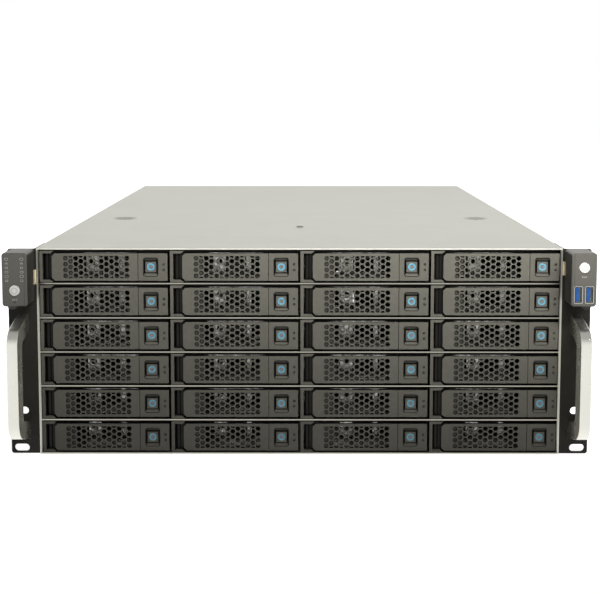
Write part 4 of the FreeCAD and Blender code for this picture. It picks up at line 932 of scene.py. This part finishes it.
@dataclass
class Controls:
    """Control housings with their buttons, marks, sockets and ribbons."""

    front: float = -0.03
    buttons: Sequence[str] = ("power_button", "ident_button")
    push_ring: Sequence[Pair] = (
        (1.9 * MM, 0.02 * MM), (1.98 * MM, -0.06 * MM), (2.42 * MM, -0.06 * MM),
        (2.5 * MM, 0.02 * MM),
    )
    lamp_spread: float = 12.2 * MM
    lamp_first: float = 168.5 * MM
    lamp_pitch: float = 3.5 * MM
    lamp_radius: float = 0.66 * MM
    lamp_dome: Sequence[Pair] = ((0.0, 0.05 * MM), (0.6, 0.12 * MM), (1.0, 0.35 * MM))
    lamp_back: float = 0.9 * MM
    print_rise: float = 0.04 * MM
    mark_sides: Sequence[int] = (24, 3, 4, 6, 24, 4)
    mark_reach: float = 1.6 * MM
    mark_squash: float = 0.72
    mark_line: float = 0.42 * MM
    bar_size: float = 1.0 * MM
    bar_pitch: float = 1.5 * MM
    pinhole_z: float = 133.3 * MM
    pinhole_mark_rise: float = 2.2 * MM
    ident_mark_drop: float = 7.4 * MM
    socket_pitch: float = 9.0 * MM
    socket_floor: float = 1.5 * MM
    tongue_width: float = 3.0 * MM
    tongue_height: float = 11.4 * MM
    tongue_shift: float = 0.8 * MM
    tongue_recess: float = 0.9 * MM
    tongue_margin: float = 0.05 * MM
    ribbon_heights: Sequence[Pair] = ((144.0, 156.0), (151.5, 163.0))
    ribbon_path: Sequence[Pair] = ((217.5, -2.15), (218.7, -2.15), (218.82, -7.0))
    ribbon_bend: float = 0.5 * MM
    ribbon_film: float = 0.12 * MM

    def middle_x(self) -> float:
        """Middle of the right housing across the case."""
        return front_middle("right_control_housing").x

    def lamp_places(self) -> list[tuple[float, float, int]]:
        """List the left housing's lamps.

        Returns:
            Each lamp's place across and up, and the number of corners of its mark.
        """
        places = []
        for side in (-1, 1):
            x = -self.middle_x() + side * self.lamp_spread / 2
            for step, corners in enumerate(self.mark_sides):
                places.append((x, self.lamp_first - step * self.lamp_pitch, corners))
        return places

    def socket_part(self, middle: Vector, normal: Vector) -> int:
        """Tell a socket's tongue from its shell.

        Args:
            middle: A face's middle.
            normal: Its normal.

        Returns:
            1 for the tongue, else 0.
        """
        front, back = front_middle("usb_sockets"), node_box("usb_sockets")[1].y
        if middle.y > back - self.socket_floor and normal.y < -FACING:
            return 0
        side = math.copysign(self.socket_pitch / 2, middle.x - front.x)
        across = abs(middle.x - front.x - side + self.tongue_shift)
        near = across < self.tongue_width / 2 + self.tongue_margin
        near = near and abs(middle.z - front.z) < self.tongue_height / 2 + self.tongue_margin
        return int(near and middle.y > front.y + self.tongue_recess)

    def dress(self) -> None:
        """Give housings, buttons and sockets their finishes."""
        for side, _ in SIDES:
            # Sides that face the middle of the case get the painted shade.
            dress(
                f"{side}_control_housing", (HOUSING_PLASTIC, HOUSING_FLANK_PAINTED_SHADE),
                lambda middle, normal: int(middle.x * normal.x < -FACING * abs(middle.x)),
            )
        for button in self.buttons:
            dress(button, (BUTTON_WHITE,))
        dress("usb_sockets", (SOCKET_STEEL, SOCKET_BLUE), self.socket_part)

    def build_push_rings(self) -> None:
        """Build the ring on each white push button."""
        for button in self.buttons:
            work = Shaper()
            work.spun(self.push_ring, front_middle(button), steps=40)
            work.piece(f"{button}_ring", button, (BUTTON_RING,))

    def mark_outline(self, corners: int) -> list[Pair]:
        """Draw a lamp's mark, a squashed regular shape.

        Args:
            corners: How many corners it has.

        Returns:
            Its corners across and up.
        """
        turn = math.pi / 2 if corners == 3 else math.pi / corners
        angles = [turn + corner * math.tau / corners for corner in range(corners)]
        tall = self.mark_reach * self.mark_squash
        return [(self.mark_reach * math.cos(angle), tall * math.sin(angle)) for angle in angles]

    def build_marks(self) -> None:
        """Build the lamps' outline marks and the bars by the pinhole and the right button."""
        work = Shaper()
        for x, z, corners in self.lamp_places():
            place = (x, self.front, z)
            work.plate(self.mark_outline(corners), place, self.print_rise, self.mark_line)
        pinhole_bars = (-self.middle_x(), self.pinhole_z + self.pinhole_mark_rise)
        ident_bars = (self.middle_x(), front_middle("ident_button").z - self.ident_mark_drop)
        for x, z in (pinhole_bars, ident_bars):
            for step in (-1, 0, 1):
                place = (x + step * self.bar_pitch, self.front, z)
                work.plate(rectangle(self.bar_size, self.bar_size), place, self.print_rise)
        work.piece("panel_marks", "chassis", (MARK_PRINT,))

    def build_lamps(self) -> None:
        """Build the small lamp lenses in the left housing."""
        profile = lens_profile(self.lamp_radius, self.lamp_dome, self.lamp_back)
        work = Shaper()
        for x, z, _ in self.lamp_places():
            work.spun(profile, (x, self.front, z), steps=16)
        work.piece("panel_lamps", "chassis", (LAMP_PIPE,))

    def build_ribbons(self) -> None:
        """Build the tan flat ribbon beside each housing."""
        for (side, sign), (low, high) in zip(SIDES, self.ribbon_heights):
            work = bmesh.new()
            path = [(sign * x * MM, y * MM, low * MM) for x, y in self.ribbon_path]
            raised = bmesh.ops.extrude_edge_only(work, edges=Shaper.line(work, path)[1])
            Shaper.shift(work, raised, (0, 0, (high - low) * MM))
            bend = [edge for edge in work.edges if len(edge.link_faces) == 2]
            bmesh.ops.bevel(
                work, geom=bend, offset=self.ribbon_bend, affect="EDGES", segments=5,
                profile=0.5, material=-1,
            )
            bmesh.ops.recalc_face_normals(work, faces=work.faces)
            bmesh.ops.solidify(work, geom=list(work.faces), thickness=self.ribbon_film)
            bmesh.ops.recalc_face_normals(work, faces=work.faces)
            shaper = Shaper()
            shaper.take(work, Matrix.Identity(4))
            shaper.piece(f"{side}_ribbon", "chassis", (FILM_TAN,))


@dataclass
class FanRow:
    """Fan wall, frames and rotors."""

    count: int = 3

    def dress(self) -> None:
        """Give the fans their finishes."""
        dress("fan_wall", (SHELL_STEEL,))
        dress("fan_frames", (FAN_BLACK,))
        for number in range(1, self.count + 1):
            dress(f"fan_rotor_{number}", (FAN_BLACK,))


@dataclass
class PowerModules:
    """Two plug-in power modules, their cage and distribution board."""

    panel: float = 0.6871
    inlet_from_right: float = 18.5 * MM
    inlet_half: float = 14 * MM
    inlet_depths: Pair = (0.66, 0.6869)
    inlet_floor: float = 0.675
    wall_facing: float = 0.99
    board_sheet: float = 1.7 * MM

    def module_part(self, middle: Vector, normal: Vector) -> int:
        """Tell handle, tab and inlet from the module's case.

        Args:
            middle: A face's middle.
            normal: Its normal.

        Returns:
            1 for black plastic, else 0.
        """
        if middle.y > self.panel:
            return 1
        inlet_x = node_box("psu_lower")[1].x - self.inlet_from_right
        first, last = self.inlet_depths
        inside = abs(middle.x - inlet_x) < self.inlet_half and first < middle.y < last
        wall = abs(normal.y) < self.wall_facing
        return int(inside and (wall or middle.y < self.inlet_floor))

    def dress(self) -> None:
        """Give the modules, cage and board their finishes."""
        dress("psu_cage", (SHELL_STEEL,))
        dress(
            "power_board", (BOARD_GREEN, CONNECTOR_BLACK),
            lambda middle, normal: int(middle.y > node_box("power_board")[0].y + self.board_sheet),
        )
        for name in ("psu_lower", "psu_upper"):
            dress(name, (PSU_STEEL, CONNECTOR_BLACK), self.module_part)


# Studio

@dataclass(frozen=True)
class Softbox:
    """A soft lamp, with its size in metres, its watts and its beam in degrees."""

    name: str
    place: Point
    aim: Point
    size: Pair
    power: float
    beam: float

    def hang(self) -> None:
        """Hang the lamp in its place, facing its aim."""
        light = bpy.data.lights.new(self.name, "AREA")
        light.shape = "RECTANGLE"
        light.size, light.size_y = self.size
        light.energy = self.power
        light.spread = math.radians(self.beam)
        lamp = bpy.data.objects.new(self.name, light)
        lamp.location = self.place
        way = Vector(self.aim) - Vector(self.place)
        lamp.rotation_euler = way.to_track_quat("-Z", "Y").to_euler()
        lamp.visible_camera = False
        lamp.visible_glossy = False
        bpy.context.scene.collection.objects.link(lamp)


@dataclass
class Studio:
    """Pale floor, white surroundings, soft lamps and the camera."""

    key_power: float = 29.5
    side_power: float = 1.5
    fill: float = 0.14
    overhead: float = 0.4
    ceiling: Pair = (0.3, 0.75)
    floor_half: float = 12.0
    paper: float = 0.9
    paper_fleck: float = 0.02
    bounce: float = 0.35
    glow: float = 0.88
    glow_near_painted_shade: float = 0.84
    glow_reach: Pair = (0.9, 3.5)
    camera_place: Point = (0.00327, -0.98813, 0.29872)
    camera_tilt: float = 0.10108
    camera_turn: float = 0.0027
    focal_length: float = 72.27
    sensor: float = 36.0
    picture_shift: float = -0.13614

    def white_paper(self) -> bpy.types.Material:
        """Build the floor's material, white to the camera but for the shadow, its glow a little
        dimmer near the case as painted shade.

        Returns:
            The material.
        """
        material = bpy.data.materials.new("studio_paper")
        material.use_nodes = True
        bench = Bench(material.node_tree)
        paths = bench.put("LightPath").outputs
        seen = bench.maths("MAXIMUM", paths["Is Camera Ray"], paths["Is Glossy Ray"])
        seen = bench.maths("MAXIMUM", seen, paths["Is Transmission Ray"])
        place = bench.place()
        fibre = bench.put("TexNoise", Vector=place, Scale=900.0)
        low, high = self.paper - self.paper_fleck, self.paper
        pale = bench.mixed(fibre.outputs[0], (low, low, low, 1), (high, high, high, 1))
        dim = (self.bounce, self.bounce, self.bounce, 1)
        paper = bench.put("BsdfDiffuse", Color=bench.mixed(seen, dim, pale))
        away = bench.put("VectorMath", {"operation": "LENGTH"}, Vector=place).outputs["Value"]
        # Painted shade: the glow is dimmer near the case than far off.
        level = bench.spread(away, *self.glow_reach, self.glow_near_painted_shade, self.glow)
        strength = bench.maths("MULTIPLY", seen, level)
        glow = bench.put("Emission", Color=(1, 1, 1, 1), Strength=strength)
        both = bench.put("AddShader")
        bench.feed(both.inputs[0], paper.outputs[0])
        bench.feed(both.inputs[1], glow.outputs[0])
        bench.put("OutputMaterial", Surface=both.outputs[0])
        return material

    def build_floor(self) -> None:
        """Build the floor under the case."""
        work = bmesh.new()
        bmesh.ops.create_grid(work, x_segments=1, y_segments=1, size=self.floor_half)
        data = bpy.data.meshes.new("floor")
        work.to_mesh(data)
        work.free()
        data.materials.append(self.white_paper())
        floor = bpy.data.objects.new("floor", data)
        bpy.context.scene.collection.objects.link(floor)

    def build_world(self) -> None:
        """Build white surroundings under a dimmer ceiling, and a soft even fill."""
        world = bpy.data.worlds.new("studio")
        bpy.context.scene.world = world
        world.use_nodes = True
        bench = Bench(world.node_tree)
        sky_place = bench.put("TexCoord").outputs["Generated"]
        upward = bench.put("SeparateXYZ", Vector=sky_place).outputs["Z"]
        ceiling = bench.spread(upward, *self.ceiling, 1.0, self.overhead)
        paths = bench.put("LightPath").outputs
        straight = bench.maths("MAXIMUM", paths["Is Camera Ray"], paths["Is Transmission Ray"])
        mirrored = bench.maths("MULTIPLY", paths["Is Glossy Ray"], ceiling)
        shown = bench.maths("MAXIMUM", straight, mirrored)
        strength = bench.maths("MAXIMUM", shown, self.fill)
        sky = bench.put("Background", Color=(1, 1, 1, 1), Strength=strength)
        bench.put("OutputWorld", Surface=sky.outputs[0])

    def build_lamps(self) -> None:
        """Hang the soft lamp over the front, and weak ones beside and behind."""
        Softbox(
            "front_softbox", place=(0.4, -0.7, 0.7), aim=(0.3, 0.1, 0.68), size=(0.9, 0.16),
            power=self.key_power, beam=90,
        ).hang()
        for side, sign in SIDES:
            Softbox(
                f"{side}_softbox", place=(sign * 1.5, 0.5, 0.7), aim=(sign * 0.2, 0.4, 0.1),
                size=(1.0, 0.8), power=self.side_power, beam=120,
            ).hang()
            Softbox(
                f"{side}_rear_softbox", place=(sign * 1.6, 1.7, 0.8), aim=(0, 0.7, 0.1),
                size=(0.8, 0.8), power=self.side_power, beam=120,
            ).hang()

    def build_camera(self) -> None:
        """Set the camera where the photograph was taken."""
        lens = bpy.data.cameras.new("camera")
        lens.lens = self.focal_length
        lens.sensor_width = self.sensor
        lens.shift_y = self.picture_shift
        lens.clip_start = 0.01
        camera = bpy.data.objects.new("camera", lens)
        camera.location = self.camera_place
        camera.rotation_euler = (math.pi / 2 - self.camera_tilt, 0, self.camera_turn)
        bpy.context.scene.collection.objects.link(camera)
        bpy.context.scene.camera = camera

    def build(self) -> None:
        """Build the whole studio."""
        bpy.context.scene.view_settings.view_transform = "Standard"
        self.build_floor()
        self.build_world()
        self.build_lamps()
        self.build_camera()


def main() -> None:
    """Dress the case, add its small pieces and set the studio."""
    logging.basicConfig(level=logging.INFO, format="%(message)s")
    Studio().build()
    Shell().dress()
    DriveCage().dress()
    for row in range(1, ROWS + 1):
        for column in range(1, COLUMNS + 1):
            tray = DriveTray(row, column)
            tray.dress()
            tray.build_ring()
            tray.build_pipes()
    Ears().dress()
    controls = Controls()
    controls.dress()
    controls.build_push_rings()
    controls.build_marks()
    controls.build_lamps()
    controls.build_ribbons()
    FanRow().dress()
    PowerModules().dress()


if __name__ == "__main__":
    main()
